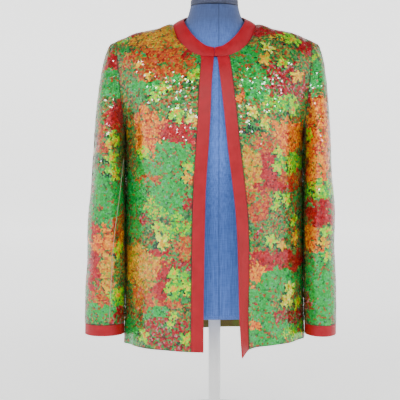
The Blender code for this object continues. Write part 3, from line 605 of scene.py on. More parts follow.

# %% [markdown]
# The clouds are soft ovals of one finish each, placed on the cloth in millimetres, and each leaf
# is a small five-lobed shape with its own turn, lime unless it says otherwise. Both are set out
# on the fronts and on the fronts of the sleeves.

# %% The clouds and leaves of the body
Patch = namedtuple("Patch", "x y z wide tall finish")
Leaf = namedtuple("Leaf", "x y z size turn finish", defaults=["lime"])
BODY_PATCHES = [Patch(*row) for row in (
    (-125, -38, 806, 62, 21, "ochre"), (-168, -18, 805, 21, 7, "red"),
    (-105, -74, 752, 62, 31, "rust"), (-142, -60, 762, 11, 8, "green"),
    (-56, -74, 764, 11, 10, "red"), (-140, -82, 692, 27, 21, "green"),
    (-81, -90, 724, 13, 12, "green"), (-83, -107, 666, 52, 37, "moss"),
    (-127, -95, 613, 35, 45, "orange"), (-79, -116, 604, 43, 23, "red"),
    (-90, -116, 540, 53, 38, "green"), (-127, -97, 514, 32, 6, "rust"),
    (-87, -117, 479, 45, 32, "green"), (-56, -127, 466, 12, 13, "redmix"),
    (-121, -100, 458, 27, 18, "sprig"), (-167, -58, 456, 30, 53, "green"),
    (-73, -122, 419, 22, 17, "sprig"), (-60, -126, 369, 16, 22, "rust"),
    (-113, -105, 363, 24, 8, "red"), (-100, -112, 302, 13, 34, "red"),
    (-146, -83, 330, 46, 42, "ochre"), (-139, -90, 273, 28, 24, "rust"),
    (-70, -123, 298, 27, 16, "sprig"), (-118, -103, 245, 23, 10, "green"),
    (-87, -117, 205, 47, 25, "redmix"), (-174, -44, 205, 16, 25, "green"),
    (-88, -117, 267, 22, 10, "rust"), (-66, -124, 341, 23, 8, "redmix"),
    (-150, -78, 435, 17, 10, "redmix"), (-120, -101, 376, 9, 9, "dark"),
    (-191, -14, 795, 14, 5, "sprig"), (131, -19, 818, 62, 11, "red"),
    (58, -80, 754, 30, 26, "green"), (55, -88, 740, 7, 7, "rust"), (140, -54, 775, 34, 21, "moss"),
    (192, -27, 783, 25, 14, "red"), (139, -80, 706, 37, 35, "redmix"),
    (84, -99, 698, 25, 28, "green"), (123, -93, 672, 30, 18, "sprig"),
    (49, -111, 674, 10, 13, "orange"), (72, -114, 637, 23, 24, "moss"),
    (74, -118, 604, 12, 9, "dark"), (146, -81, 596, 43, 26, "orange"),
    (116, -102, 585, 25, 19, "rust"), (109, -107, 536, 16, 34, "red"),
    (76, -121, 536, 23, 34, "ochre"), (160, -67, 544, 30, 14, "sprig"),
    (148, -79, 516, 35, 14, "rust"), (123, -99, 499, 38, 11, "red"),
    (86, -118, 467, 23, 30, "rust"), (131, -94, 415, 54, 45, "moss"),
    (84, -118, 476, 11, 15, "green"), (85, -118, 400, 10, 8, "redmix"),
    (124, -99, 348, 60, 18, "red"), (84, -117, 330, 21, 23, "orange"),
    (134, -92, 310, 50, 20, "green"), (96, -112, 264, 31, 37, "green"),
    (153, -77, 269, 39, 18, "moss"), (158, -70, 234, 33, 16, "redmix"),
    (121, -102, 204, 62, 19, "green"), (80, -116, 218, 12, 10, "orange"),
    (152, -79, 201, 35, 14, "sprig"), (84, -116, 261, 11, 8, "redmix"),
    (0, -130, 300, 34, 30, "red"), (5, -130, 420, 30, 40, "green"),
    (-8, -128, 520, 28, 30, "orange"), (0, -120, 640, 30, 34, "ochre"),
    (0, -90, 740, 36, 26, "green"), (0, -132, 220, 34, 24, "rust"),
)]
BODY_LEAVES = [Leaf(*row) for row in (
    (-43, -99, 715, 17, 10), (-104, -96, 690, 16, 200), (-117, -94, 677, 11, 75),
    (-75, -112, 645, 18, 140), (-49, -120, 630, 12, 320, "pale"), (-141, -86, 565, 17, 40),
    (-51, -128, 538, 12, 265), (-53, -127, 513, 13, 110, "gold"), (-111, -107, 415, 14, 180),
    (-100, -112, 385, 18, 300, "pale"), (-77, -121, 326, 12, 20), (-81, -120, 297, 15, 230),
    (-53, -127, 300, 13, 90), (-80, -120, 242, 10, 155), (-88, -117, 226, 10, 350),
    (-142, -89, 201, 16, 60), (-56, -127, 196, 15, 10), (-159, -62, 743, 9, 200, "gold"),
    (-131, -79, 721, 9, 75, "gold"), (-180, -32, 600, 14, 230, "gold"),
    (109, -59, 780, 14, 90, "pale"), (103, -74, 753, 15, 155, "gold"), (135, -67, 750, 11, 350),
    (131, -40, 800, 10, 60, "gold"), (157, -31, 798, 18, 10), (170, -61, 721, 16, 200, "gold"),
    (78, -112, 646, 14, 75, "pale"), (101, -107, 628, 15, 140, "pale"), (158, -75, 649, 17, 320),
    (130, -94, 565, 12, 40), (123, -99, 536, 15, 265), (150, -78, 545, 13, 110),
    (125, -98, 479, 12, 180), (145, -83, 468, 15, 300), (124, -99, 459, 12, 20),
    (111, -107, 389, 16, 230), (133, -92, 379, 12, 90, "gold"), (162, -65, 393, 15, 155, "gold"),
    (159, -68, 428, 13, 350), (152, -78, 296, 17, 60, "pale"), (145, -85, 266, 18, 10, "pale"),
    (170, -52, 260, 15, 200), (4, -130, 360, 17, 50), (-6, -128, 470, 15, 160, "gold"),
    (6, -124, 590, 17, 280),
)]
print("the body's print has", len(BODY_PATCHES), "clouds and", len(BODY_LEAVES), "leaves")

# %% The clouds and leaves of the sleeves
SLEEVE_PATCHES = [Patch(*row) for row in (
    (-202, -33, 759, 24, 33, "red"), (-209, -32, 755, 9, 10, "rust"),
    (-209, -46, 711, 18, 30, "green"), (-208, -47, 710, 6, 6, "rust"),
    (-225, -62, 655, 11, 34, "moss"), (-201, -58, 644, 20, 33, "red"),
    (-229, -76, 601, 15, 31, "rust"), (-206, -74, 595, 22, 25, "moss"),
    (-215, -86, 514, 28, 24, "green"), (-215, -86, 461, 35, 50, "green"),
    (-196, -67, 422, 20, 18, "rust"), (-216, -82, 386, 36, 25, "orange"),
    (-243, -77, 401, 10, 12, "red"), (-244, -71, 328, 15, 38, "red"),
    (-218, -78, 323, 14, 46, "ochre"), (-194, -61, 340, 21, 14, "moss"),
    (-228, -76, 275, 20, 16, "rust"), (-195, -58, 269, 21, 17, "sprig"),
    (-231, -74, 241, 25, 19, "green"), (-195, -57, 235, 24, 14, "redmix"),
    (212, -24, 772, 20, 15, "sprig"), (210, -43, 723, 17, 33, "green"),
    (207, -79, 594, 33, 93, "orange"), (203, -71, 610, 21, 19, "red"),
    (209, -83, 574, 10, 20, "red"), (190, -52, 538, 14, 16, "red"), (192, -46, 673, 13, 12, "red"),
    (210, -88, 493, 31, 17, "sprig"), (208, -87, 446, 31, 28, "red"),
    (200, -79, 452, 17, 11, "green"), (200, -77, 389, 26, 28, "orange"),
    (229, -81, 401, 14, 24, "moss"), (211, -80, 292, 29, 70, "green"),
    (190, -54, 264, 15, 25, "redmix"),
)]
SLEEVE_LEAVES = [Leaf(*row) for row in (
    (-205, -73, 599, 13, 140), (-200, -67, 586, 13, 320), (-208, -81, 552, 15, 40),
    (-201, -75, 524, 19, 265), (-214, -82, 580, 10, 110, "gold"), (-193, -60, 367, 17, 180),
    (-218, -76, 290, 8, 300, "gold"), (-195, -60, 273, 15, 20), (193, -54, 599, 16, 75),
    (191, -49, 566, 13, 140, "gold"), (205, -85, 494, 14, 320), (229, -83, 409, 13, 40),
    (222, -84, 381, 13, 265, "gold"), (227, -80, 356, 12, 110),
)]
print("the sleeves' print has", len(SLEEVE_PATCHES), "clouds and", len(SLEEVE_LEAVES), "leaves")

# %% [markdown]
# The jacket's panels were cut from one cloth whose print repeats, so the back and the hidden
# halves of the sleeves read the same clouds, mirrored and moved up by a part of the repeat. Noise
# stirs every edge, breaks the clouds into specks and draws thin veins between them. Part of it is
# random, so it is given a seed here, and every run prints the same cloth.

# %% The print's colour at any place on the cloth
REPEAT_LOW, REPEAT_HIGH = 0.190, 0.800
BODY_STEP, SLEEVE_STEP = 0.11, 0.17
BODY_WIDE, BODY_DEEP = 0.186, 0.133
SLEEVE_MIDDLE_X, SLEEVE_MIDDLE_Y = 0.218, -0.022
SLEEVE_REPEAT_TURN = math.radians(120)
MOSS, VEIN, DARK, GOLD = (FINISHES.index(name) for name in ("moss", "vein", "dark", "gold"))
NOISE_SEED = 1795792599
noise.seed_set(NOISE_SEED)


def noise_at(places, scale, shift=(0, 0, 0), pattern=noise.noise):
    """Seeded noise at each place, coarse at a small scale and fine at a large one."""
    return np.array([pattern(Vector(p) * scale + Vector(shift)) for p in places])


def within_repeat(places, tube):
    """Moves the places on hidden sides to their like on the front of the print's repeat."""
    read = places.copy()
    if tube:
        axis = np.array((math.copysign(SLEEVE_MIDDLE_X, places[0, 0]), SLEEVE_MIDDLE_Y))
        off = places[:, :2] - axis
        turn = np.arctan2(off[:, 0], -off[:, 1])
        part = np.round(turn / SLEEVE_REPEAT_TURN)
        back = -part * SLEEVE_REPEAT_TURN
        read[:, 0] = axis[0] + off[:, 0] * np.cos(back) - off[:, 1] * np.sin(back)
        read[:, 1] = axis[1] + off[:, 0] * np.sin(back) + off[:, 1] * np.cos(back)
        steps = SLEEVE_STEP * part
    else:
        behind = places[:, 1] > 0
        read[behind, 0] = -places[behind, 0]
        read[behind, 1] = -1.08 * places[behind, 1]
        steps = BODY_STEP * behind
    moved = (read[:, 2] + steps - REPEAT_LOW) % (REPEAT_HIGH - REPEAT_LOW) + REPEAT_LOW
    read[:, 2] = np.where(steps == 0, read[:, 2], moved)
    return read


def outward_from(x, y, tube):
    """The level direction out of the cloth at a place, as two numbers."""
    if tube:
        out = Vector((x - math.copysign(SLEEVE_MIDDLE_X, x), y - SLEEVE_MIDDLE_Y))
    else:
        out = Vector((x / BODY_WIDE ** 2, y / BODY_DEEP ** 2))
    return out.normalized()


def in_leaf(leaf, across, up, size):
    """Whether flat places lie in a leaf of five uneven lobes."""
    angle = np.arctan2(up, across) + math.radians(leaf.turn)
    lobes = 0.40 + 0.60 * np.abs(np.cos(2.5 * angle)) ** 1.3
    uneven = 1 + 0.22 * np.sin(angle + leaf.x) + 0.12 * np.sin(2 * angle)
    return np.hypot(across, up) < size * lobes * uneven


def finish_at(places, tube, luck):
    """Which finish of the print each place has."""
    read = within_repeat(places, tube)
    wander = (14 * noise_at(read, 30, pattern=noise.noise_vector)
              + 10 * noise_at(read, 85, pattern=noise.noise_vector))
    millimetres = read * 1000
    stirred = millimetres + wander
    best = -0.45 + 1.2 * (noise_at(read, 45) + 0.7 * noise_at(read, 120))
    chosen = np.full(len(read), MOSS)
    deep = 1.3 if tube else 2.6
    for patch in SLEEVE_PATCHES if tube else BODY_PATCHES:
        reach = patch.wide, deep * patch.wide, patch.tall
        off = (stirred - (patch.x, patch.y, patch.z)) / reach
        small = 0.35 * (1 - min(patch.wide, patch.tall, 40) / 40)
        score = 1 + small - (off ** 2).sum(axis=1) + luck.normal(0, 0.15, len(read))
        better = score > best
        best[better] = score[better]
        chosen[better] = FINISHES.index(patch.finish)
    threads = np.abs(noise_at(read, 42, (5, 0, 0))) < 0.055
    chosen[threads & (noise_at(read, 90, (0, 5, 0)) > -0.12)] = VEIN
    for leaf in SLEEVE_LEAVES if tube else BODY_LEAVES:
        off = millimetres + 0.3 * wander - (leaf.x, leaf.y, leaf.z)
        near = np.linalg.norm(off / (1, deep, 1), axis=1) < 2 * leaf.size
        out = outward_from(leaf.x / 1000, leaf.y / 1000, tube)
        across = (off[near] @ np.array((-out.y, out.x, 0))) / leaf.size
        up = off[near][:, 2] / leaf.size
        found = chosen[near]
        half = luck.random(near.sum()) < 0.5
        found[in_leaf(leaf, across + 0.35, up + 0.30, 1.0) & half] = DARK
        found[in_leaf(leaf, across, up, 1.0)] = FINISHES.index(leaf.finish)
        found[in_leaf(leaf, across, up, 0.42)] = GOLD
        chosen[near] = found
    return chosen


def print_at(places, tube, seed):
    """The print's colour at each place, as linear numbers."""
    luck = np.random.default_rng(seed)
    chosen = finish_at(places, tube, luck)
    colours = np.empty((len(places), 4))
    flecks = np.stack([noise_at(places, 170, (0, 0, 9 * dye)) for dye in range(MOST_DYES)], axis=1)
    for number, finish in enumerate(FINISHES):
        dyes = np.array([linear(code) for code, _ in PRINT[finish]])
        shares = np.array([share for _, share in PRINT[finish]], float)
        here = np.flatnonzero(chosen == number)
        chances = np.log(shares) + 3.2 * flecks[here, :len(dyes)]
        chances += luck.gumbel(0, 0.45, (len(here), len(dyes)))
        colours[here] = dyes[chances.argmax(axis=1)]
    colours[:, :3] *= luck.normal(1.0, 0.10, (len(places), 1)).clip(0.7, 1.3)
    return colours


# %% [markdown]
# Sequins are sewn on in straight rows, each row half a step along from the last, so that every
# disc covers the gap between two others. The rows are laid on the flat cut and carried back to the
# hanging cloth. Each disc tips a little its own way, which is what makes the cloth sparkle. A disc
# has eight sides: there are tens of thousands, and at this size eight look round. A second map
# gives each disc a square of its own, for whoever bakes the print into a picture.

# %% Rows of sequins on a sheet
SEQUIN_STEP = 0.0035
SEQUIN_RADIUS = 0.00195
SEQUIN_SIDES = 8
SEQUIN_LIFT = 0.00050
EDGE_CLEAR = 0.0015


def row_places(sheet):
    """Where the sequins' middles fall: their places, normals, and directions along their rows."""
    corners, p, q, r = flat_triangles(sheet.data)
    row_step = SEQUIN_STEP * math.sqrt(3) / 2
    low = np.minimum(np.minimum(p, q), r)
    high = np.maximum(np.maximum(p, q), r)
    first_row = np.ceil(low[:, 1] / row_step).astype(int)
    rows = int((np.floor(high[:, 1] / row_step) - first_row).max()) + 1
    columns = int(((high - low)[:, 0] / SEQUIN_STEP).max()) + 2
    whole = crossed(q - p, r - p)
    found = []
    for row in range(rows):
        level = first_row + row
        stagger = 0.5 * SEQUIN_STEP * (level % 2)
        first_column = np.floor((low[:, 0] - stagger) / SEQUIN_STEP).astype(int)
        for column in range(columns):
            place = first_column + column
            spot = np.c_[place * SEQUIN_STEP + stagger, level * row_step] - p
            toward_q = crossed(spot, r - p) / whole
            toward_r = crossed(q - p, spot) / whole
            inside = (toward_q >= 0) & (toward_r >= 0) & (toward_q + toward_r <= 1)
            for t in np.flatnonzero(inside):
                found.append((level[t], place[t], t, toward_q[t], toward_r[t]))
    found = np.array(found)
    _, kept = np.unique(found[:, :2], axis=0, return_index=True)
    _, _, t, toward_q, toward_r = found[kept].T
    t = t.astype(int)
    shares = np.c_[1 - toward_q - toward_r, toward_q, toward_r][:, :, None]
    places = numbers(sheet.data.vertices, "co", 3)[corners[t]]
    normals = numbers(sheet.data.vertex_normals, "vector", 3)[corners[t]]
    alongs = ((places[:, 1] - places[:, 0]) * (r - p)[t, 1:2]
              - (places[:, 2] - places[:, 0]) * (q - p)[t, 1:2])
    alongs *= np.sign(whole[t])[:, None]
    return (places * shares).sum(axis=1), (normals * shares).sum(axis=1), alongs


def rim_tree(sheet):
    """The sheet's edges as a tree of points, for finding what lies close to them."""
    mesh = bmesh.new()
    mesh.from_mesh(sheet.data)
    spots = []
    for edge in mesh.edges:
        if edge.is_boundary:
            a, b = (v.co for v in edge.verts)
            steps = max(2, int(edge.calc_length() / 0.0008))
            spots += [a.lerp(b, i / steps) for i in range(steps)]
    mesh.free()
    tree = KDTree(len(spots))
    for i, spot in enumerate(spots):
        tree.insert(spot, i)
    tree.balance()
    return tree


def unit(vectors):
    """The same directions with a length of one."""
    return vectors / np.linalg.norm(vectors, axis=1, keepdims=True)


def lay_sequins(sheet, name, tube, seed):
    """Makes the sequins on a sheet, all in one mesh, each with its own colour and tilt."""
    middles, outs, alongs = row_places(sheet)
    tree = rim_tree(sheet)
    clear = np.array([tree.find(m)[2] > EDGE_CLEAR for m in middles])
    middles, outs, alongs = middles[clear], unit(outs[clear]), alongs[clear]
    count = len(middles)
    luck = np.random.default_rng(seed)
    downs = unit(np.cross(alongs, outs))
    alongs = np.cross(outs, downs)
    drift = noise_at(middles, 85, pattern=noise.noise_vector) * 0.20
    tips = luck.normal(0, 0.07, (count, 2)) + drift[:, :2]
    tilted = unit(outs + alongs * tips[:, :1] + downs * (tips[:, 1:] - 0.06))
    rows = unit(alongs - tilted * (alongs * tilted).sum(axis=1, keepdims=True))
    ups = np.cross(tilted, rows)
    sizes = SEQUIN_RADIUS * luck.normal(1.0, 0.03, (count, 1)).clip(0.92, 1.06)
    lifts = SEQUIN_LIFT + luck.random((count, 1)) * 0.00015
    middles = middles + outs * lifts
    angles = np.arange(SEQUIN_SIDES) * 2 * math.pi / SEQUIN_SIDES
    corners = np.stack([
        middles + (rows * math.cos(a) + ups * math.sin(a)) * sizes for a in angles
    ], axis=1)
    mesh = bpy.data.meshes.new(name)
    faces = np.arange(count * SEQUIN_SIDES).reshape(count, SEQUIN_SIDES)
    mesh.from_pydata(corners.reshape(-1, 3).tolist(), [], faces.tolist())
    disc = mesh.uv_layers.new(name="disc")
    round_it = 0.5 + 0.5 * np.c_[np.cos(angles), np.sin(angles)]
    disc.uv.foreach_set("vector", np.tile(round_it, (count, 1)).ravel())
    colours = print_at(middles, tube, seed)
    dye = mesh.attributes.new("dye", "FLOAT_COLOR", "POINT")
    dye.data.foreach_set("color", np.repeat(colours, SEQUIN_SIDES, axis=0).ravel())
    across = math.ceil(math.sqrt(count))
    own_square = np.c_[np.arange(count) % across, np.arange(count) // across][:, None]
    baked = mesh.uv_layers.new(name="OFBake")
    baked.uv.foreach_set("vector", ((own_square + 0.1 + 0.8 * round_it) / across).ravel())
    print(name, "has", count, "sequins")
    return add_object(name, mesh)


# %% [markdown]
# A flat sequin is a disc of PET film, about 2 mm in radius here, dyed and glazed. The film is
# smooth, so it gives a small sharp light, and a hole for its thread is punched in its middle. The
# disc's own map draws that hole and a slightly raised rim.

# %% Sequin film
def sequin_film():
    """Dyed PET film with a glaze, coloured disc by disc."""
    material, tree, shader = start_material(
        "dyed_pet_sequin_film", Metallic=0.25, IOR=1.575, Specular_IOR_Level=0.3,
        Coat_Weight=0.6, Coat_Roughness=0.05, Coat_IOR=1.6
    )
    dye = attribute(tree, "dye")
    disc = add_node(tree, "UVMap", uv_map="disc").outputs["UV"]
    middle = add_node(tree, "VectorMath", {0: disc, 1: (0.5, 0.5, 0.0)}, operation="DISTANCE")
    off_middle = middle.outputs["Value"]
    place = add_node(tree, "TexCoord").outputs["Object"]
    wire(
        shader, Specular_Tint=dye,
        Base_Color=mixed(tree, spread(tree, off_middle, 0.06, 0.11), (0.12, 0.12, 0.12, 1), dye),
        Roughness=spread(tree, speckle(tree, place, 260.0, 3.0), 0.3, 0.7, 0.20, 0.42),
        Normal=relief(tree, spread(tree, off_middle, 0.40, 0.48), 0.25, 0.0001)
    )
    return material


# %% [markdown]
# Under the sequins is a soft knitted ground in the same print, its colour painted darker as the
# shade of the sequins over it. Its stitches are 1.2 mm apart, drawn as fine ribs in the bump.

# %% Printed ground cloth
def printed_ground():
    """A matt knitted polyester in the print's colours, painted darker as the sequins' shade."""
    material, tree, shader = start_material(
        "printed_polyester_jersey", Roughness=0.85, Sheen_Weight=0.25
    )
    place = add_node(tree, "UVMap", uv_map="cut").outputs["UV"]
    # Painted shade: the print is dimmed unevenly to 42-72 per cent, as the sequins' shade.
    shade = spread(tree, speckle(tree, place, 420.0, 4.0), 0.3, 0.7, 0.42, 0.72)
    wire(shader, Base_Color=dimmed(tree, attribute(tree, "dye"), shade),
         Normal=relief(tree, ribs(tree, place, 260.0, 1.2), 0.5, 0.0003))
    return material


# %% [markdown]
# The bands are polyester satin: long warp floats that shine along the band, in a warm red. The
# floats are 0.15 mm apart, too fine to show, so they are drawn twice as coarse. Slow changes of
# shade come from the way the band was pressed.

# %% Red satin
def red_satin():
    """A matt-glossy red satin with fine ribs and pressed unevenness."""
    material, tree, shader = start_material(
        "red_polyester_satin", IOR=1.5, Specular_IOR_Level=0.3, Sheen_Weight=0.05,
        Sheen_Tint="#FF5058"
    )
    place = add_node(tree, "UVMap", uv_map="cut").outputs["UV"]
    pressed = speckle(tree, place, 34.0, 5.0, 0.6)
    floats = ribs(tree, place, 1050.0, 2.0)
    height = compute(tree, "MULTIPLY_ADD", floats, 0.10, speckle(tree, place, 75.0, 3.0))
    wire(shader, Base_Color=two_tones(tree, pressed, 0.30, "#8C0010", 0.72, "#A4041C"),
         Roughness=spread(tree, pressed, 0.3, 0.7, 0.38, 0.52),
         Normal=relief(tree, height, 0.35, 0.0008))
    return material


film = sequin_film()
ground = printed_ground()
satin = red_satin()
print("the jacket's finishes:", film.name, ground.name, satin.name)

# %% [markdown]
# Now the sequin panels are made: two fronts, the back and two sleeves. The fronts hang from the
# neck with a soft upright fold beside each armhole, and the sleeves show the slight drag of cloth
# over an empty arm. The back and the hidden sides have creases of their own.

# %% The creases of each panel
FRONT_RIGHT_CREASES = creases(
    (9, -1.4, -162, 735, -155, 680, -157, 580, -163, 480),
    (11, 4.0, -146, 740, -138, 650, -143, 520),
    (12, -1.8, -155, 330, -150, 260, -152, 180),
    (20, 1.2, -120, 420, -110, 330, -116, 230),
    (16, -1.0, -60, 730, -90, 690, -125, 640),
    (18, -1.0, -70, 360, -66, 280, -72, 200),
)
FRONT_LEFT_CREASES = creases(
    (9, -1.2, 166, 720, 159, 640, 161, 540, 167, 450),
    (11, 3.2, 150, 720, 142, 620, 147, 500),
    (13, -1.8, 150, 340, 144, 260, 148, 185),
    (18, 1.4, 115, 400, 108, 300, 112, 210),
    (16, -1.0, 66, 725, 94, 690, 128, 645),
    (16, -1.0, 85, 330, 82, 250, 87, 190),
)
BACK_CREASES = creases(
    (14, -2.2, -150, 700, -140, 620, -146, 520),
    (14, -2.0, 152, 690, 141, 610, 147, 500),
    (18, 1.8, -70, 480, -62, 360, -68, 200),
    (18, 1.6, 74, 460, 66, 340, 70, 190),
    (16, -1.2, -20, 440, -14, 320, -18, 200),
    (14, -1.2, -110, 770, -40, 745, 45, 748, 115, 768),
)
SLEEVE_RIGHT_CREASES = creases(
    (12, 3.4, -72, 591, -71, 564, -70, 538),
    (14, 1.0, -72, 400, -70, 320, -72, 225),
    (11, -1.6, -10, 600, 20, 575, 45, 560),
    (13, 1.4, -30, 520, 0, 490, 34, 470),
    (13, -1.6, 30, 430, 0, 400, -30, 385),
    (9, -1.4, -15, 700, -12, 640, -20, 580),
    (12, 1.2, 22, 330, 16, 290, 22, 235),
    (14, -1.6, 110, 520, 80, 480, 60, 460),
    (14, 1.4, -110, 480, -80, 440, -60, 430),
)
SLEEVE_LEFT_CREASES = creases(
    (12, 3.4, -72, 591, -71, 564, -70, 538),
    (14, 1.0, -72, 400, -70, 320, -72, 225),
    (11, -1.6, -12, 590, 18, 560, 44, 548),
    (13, 1.4, 34, 500, 4, 478, -30, 460),
    (13, -1.5, -30, 415, 2, 395, 30, 372),
    (9, -1.4, -18, 690, -16, 630, -24, 570),
    (12, 1.2, 20, 320, 26, 280, 20, 235),
    (14, -1.6, 105, 500, 78, 470, 58, 440),
    (14, 1.4, -108, 490, -80, 450, -62, 425),
)
print("each sleeve has", len(SLEEVE_LEFT_CREASES), "creases and the back", len(BACK_CREASES))

# %% The five sequin panels
CLOTH = 0.0020
RIM = 0.0006
GATHER_DEEP, GATHER_PITCH = 0.0008, 0.0085
GATHER_FROM, GATHER_SPAN = 0.715, 0.085
# How dark the painted shade along the seams is.
SEAM_PAINTED_SHADE = 0.25


def rim_points(sheet):
    """The numbers of the points on a sheet's edges, where the cloth turns down into its seams."""
    mesh = bmesh.new()
    mesh.from_mesh(sheet.data)
    found = [v.index for v in mesh.verts if v.is_boundary]
    mesh.free()
    return found


def gather_head(tube):
    """Small puckers round the top of a sleeve, where its fullness is eased into the armhole."""
    places = numbers(tube.data.vertices, "co", 3)
    near = np.clip((places[:, 2] - GATHER_FROM) / GATHER_SPAN, 0, 1) ** 1.5
    turn = places[:, 1] * 2 * math.pi / GATHER_PITCH
    lift_points(tube.data, GATHER_DEEP * near * np.sin(turn + 0.7 * np.sin(places[:, 1] * 130)))


def dull_reverse(sheet, tube):
    """Takes the print off the cloth's reverse, where only a dull blend of its dyes shows."""
    places = numbers(sheet.data.vertices, "co", 3)
    normals = numbers(sheet.data.vertex_normals, "vector", 3)
    colours = numbers(sheet.data.attributes["dye"].data, "color", 4)
    blend = colours.mean(axis=0)
    for i, (place, normal) in enumerate(zip(places, normals)):
        out = outward_from(place[0], place[1], tube)
        if out.x * normal[0] + out.y * normal[1] < -0.3:
            colours[i] = 0.85 * blend + 0.15 * colours[i]
    sheet.data.attributes["dye"].data.foreach_set("color", colours.ravel())


Panel = namedtuple("Panel", "node tube first creases seed")
PANELS = [
    Panel("front_right", False, at_hem, FRONT_RIGHT_CREASES, 11),
    Panel("front_left", False, at_hem, FRONT_LEFT_CREASES, 12),
    Panel("back", False, at_hem, BACK_CREASES, 13),
    Panel("sleeve_right", True, at_rim, SLEEVE_RIGHT_CREASES, 14),
    Panel("sleeve_left", True, at_rim, SLEEVE_LEFT_CREASES, 15),
]
sheets = {}
for panel in PANELS:
    sheet = outer_face(panel.node, panel.node + "_cloth", panel.first)
    if panel.tube:
        mark_inner_seam(sheet)
    smooth_through(sheet, 2)
    press_creases(sheet, panel.creases, panel.tube)
    if panel.tube:
        gather_head(sheet)
    cut = lay_flat(sheet)
    places = numbers(sheet.data.vertices, "co", 3)
    colours = print_at(places, panel.tube, panel.seed)
    # Painted shade: the ground's rims, where the cloth turns into its seams, are darkened.
    colours[rim_points(sheet), :3] *= SEAM_PAINTED_SHADE
    dye = sheet.data.attributes.new("dye", "FLOAT_COLOR", "POINT")
    dye.data.foreach_set("color", colours.ravel())
    sequins = lay_sequins(sheet, panel.node + "_sequins", panel.tube, panel.seed)
    give_wall(sheet, CLOTH, RIM)
    dull_reverse(sheet, panel.tube)
    finish_piece(sheet, ground)
    finish_piece(sequins, film)
    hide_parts(panel.node)
    sheets[panel.node] = sheet

# %% [markdown]
# The satin bands are cut as straight strips, except the neck band, which is cut on a curve. Each is
# a little thicker than the cloth, because its raw edges are folded in, and its edges are round.

# %% The five satin bands
SATIN = 0.0026
Band = namedtuple("Band", "node tube first creases")
BANDS = [
    Band("neck_band", False, at_neck_end, []),
    Band("front_band_right", False, at_hem, creases(
        (4, -0.9, -26, 772, -12, 768, 2, 771),
        (6, 0.8, -30, 760, -16, 757, -6, 752),
        (10, 0.7, -30, 560, -24, 500, -28, 420),
    )),
    Band("front_band_left", False, at_hem, creases(
        (6, -0.7, 6, 758, 16, 750, 28, 752),
        (10, 0.7, 32, 540, 40, 470, 42, 400),
    )),
    Band("cuff_band_right", True, at_rim, []),
    Band("cuff_band_left", True, at_rim, []),
]


def strip_size(strip, area):
    """The width and length of a narrow strip, from its area and the length of its edge."""
    mesh = bmesh.new()
    mesh.from_mesh(strip.data)
    half = sum(edge.calc_length() for edge in mesh.edges if edge.is_boundary) / 2
    mesh.free()
    wide = (half - math.sqrt(half * half - 4 * area)) / 2
    return wide, half - wide


for band in BANDS:
    curved = band.node == "neck_band"
    strip = outer_face(band.node, band.node + "_satin", band.first)
    if band.tube:
        mark_inner_seam(strip)
    smooth_through(strip, 3 if curved else 2)
    if band.creases:
        press_creases(strip, band.creases)
    cut = lay_flat(strip, upright=not curved)
    wide, tall = (cut.wide, cut.tall) if band.tube else strip_size(strip, cut.area)
    give_wall(strip, SATIN, RIM)
    finish_piece(strip, satin)
    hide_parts(band.node)
    print(strip.name, "is cut", round(1000 * wide), "by", round(1000 * tall), "mm")

# %% [markdown]
# One seam of the wearer's right sleeve shows as a thin pale line, where its thread lies on top of
# the sequins. The thread is drawn as a line of points on the camera's side and dropped straight
# back onto the cloth.

# %% The seam thread of the right sleeve
THREAD_RADIUS = 0.00045
THREAD_LIFT = 0.0013
THREAD_POINTS = 90
SEAM_LINE = [(-0.188, 0.552), (-0.191, 0.510), (-0.195, 0.465), (-0.202, 0.410), (-0.207, 0.350),
             (-0.210, 0.290), (-0.2125, 0.235), (-0.214, 0.222)]


def stitch_seam(sheet, name, line):
    """A thin thread laid on a sheet's front along points given by their x and z."""
    tree = BVHTree.FromObject(sheet, bpy.context.evaluated_depsgraph_get())
    sides, heights = zip(*line[::-1])
    curve = bpy.data.curves.new(name, "CURVE")
    curve.dimensions = "3D"
    curve.bevel_depth = THREAD_RADIUS
    curve.bevel_resolution = 2
    curve.use_fill_caps = True
    spots = []
    for z in np.linspace(heights[0], heights[-1], THREAD_POINTS):
        x = float(np.interp(z, heights, sides))
        place, normal, _, _ = tree.ray_cast(Vector((x, -0.4, z)), Vector((0, 1, 0)))
        if place:
            spots.append(place + normal * THREAD_LIFT)
    spline = curve.splines.new("POLY")
    spline.points.add(len(spots) - 1)
    for point, spot in zip(spline.points, spots):
        point.co = (*spot, 1)
    thread = add_object(name, curve)
    pick(thread)
    bpy.ops.object.convert(target="MESH")
    thread.data.shade_smooth()
    print(name, "has", len(spots), "points")
    return thread


thread_finish, _, _ = start_material(
    "polyester_sewing_thread", Roughness=0.5, Base_Color="#A8A488"
)
sleeve_thread = stitch_seam(sheets["sleeve_right"], "sleeve_right_thread", SEAM_LINE)
finish_piece(sleeve_thread, thread_finish)

# %% [markdown]
# The dress form is covered in blue linen. Linen yarn is uneven: thick slubs run along it, about a
# millimetre wide and a few centimetres long, and they give the cloth its upright streaks. One seam
# runs down the middle of the front, and the neck is painted darker and greyer, as shade.

# %% Blue linen, dark linen and white enamel
FORM_SEAM_X = 0.009


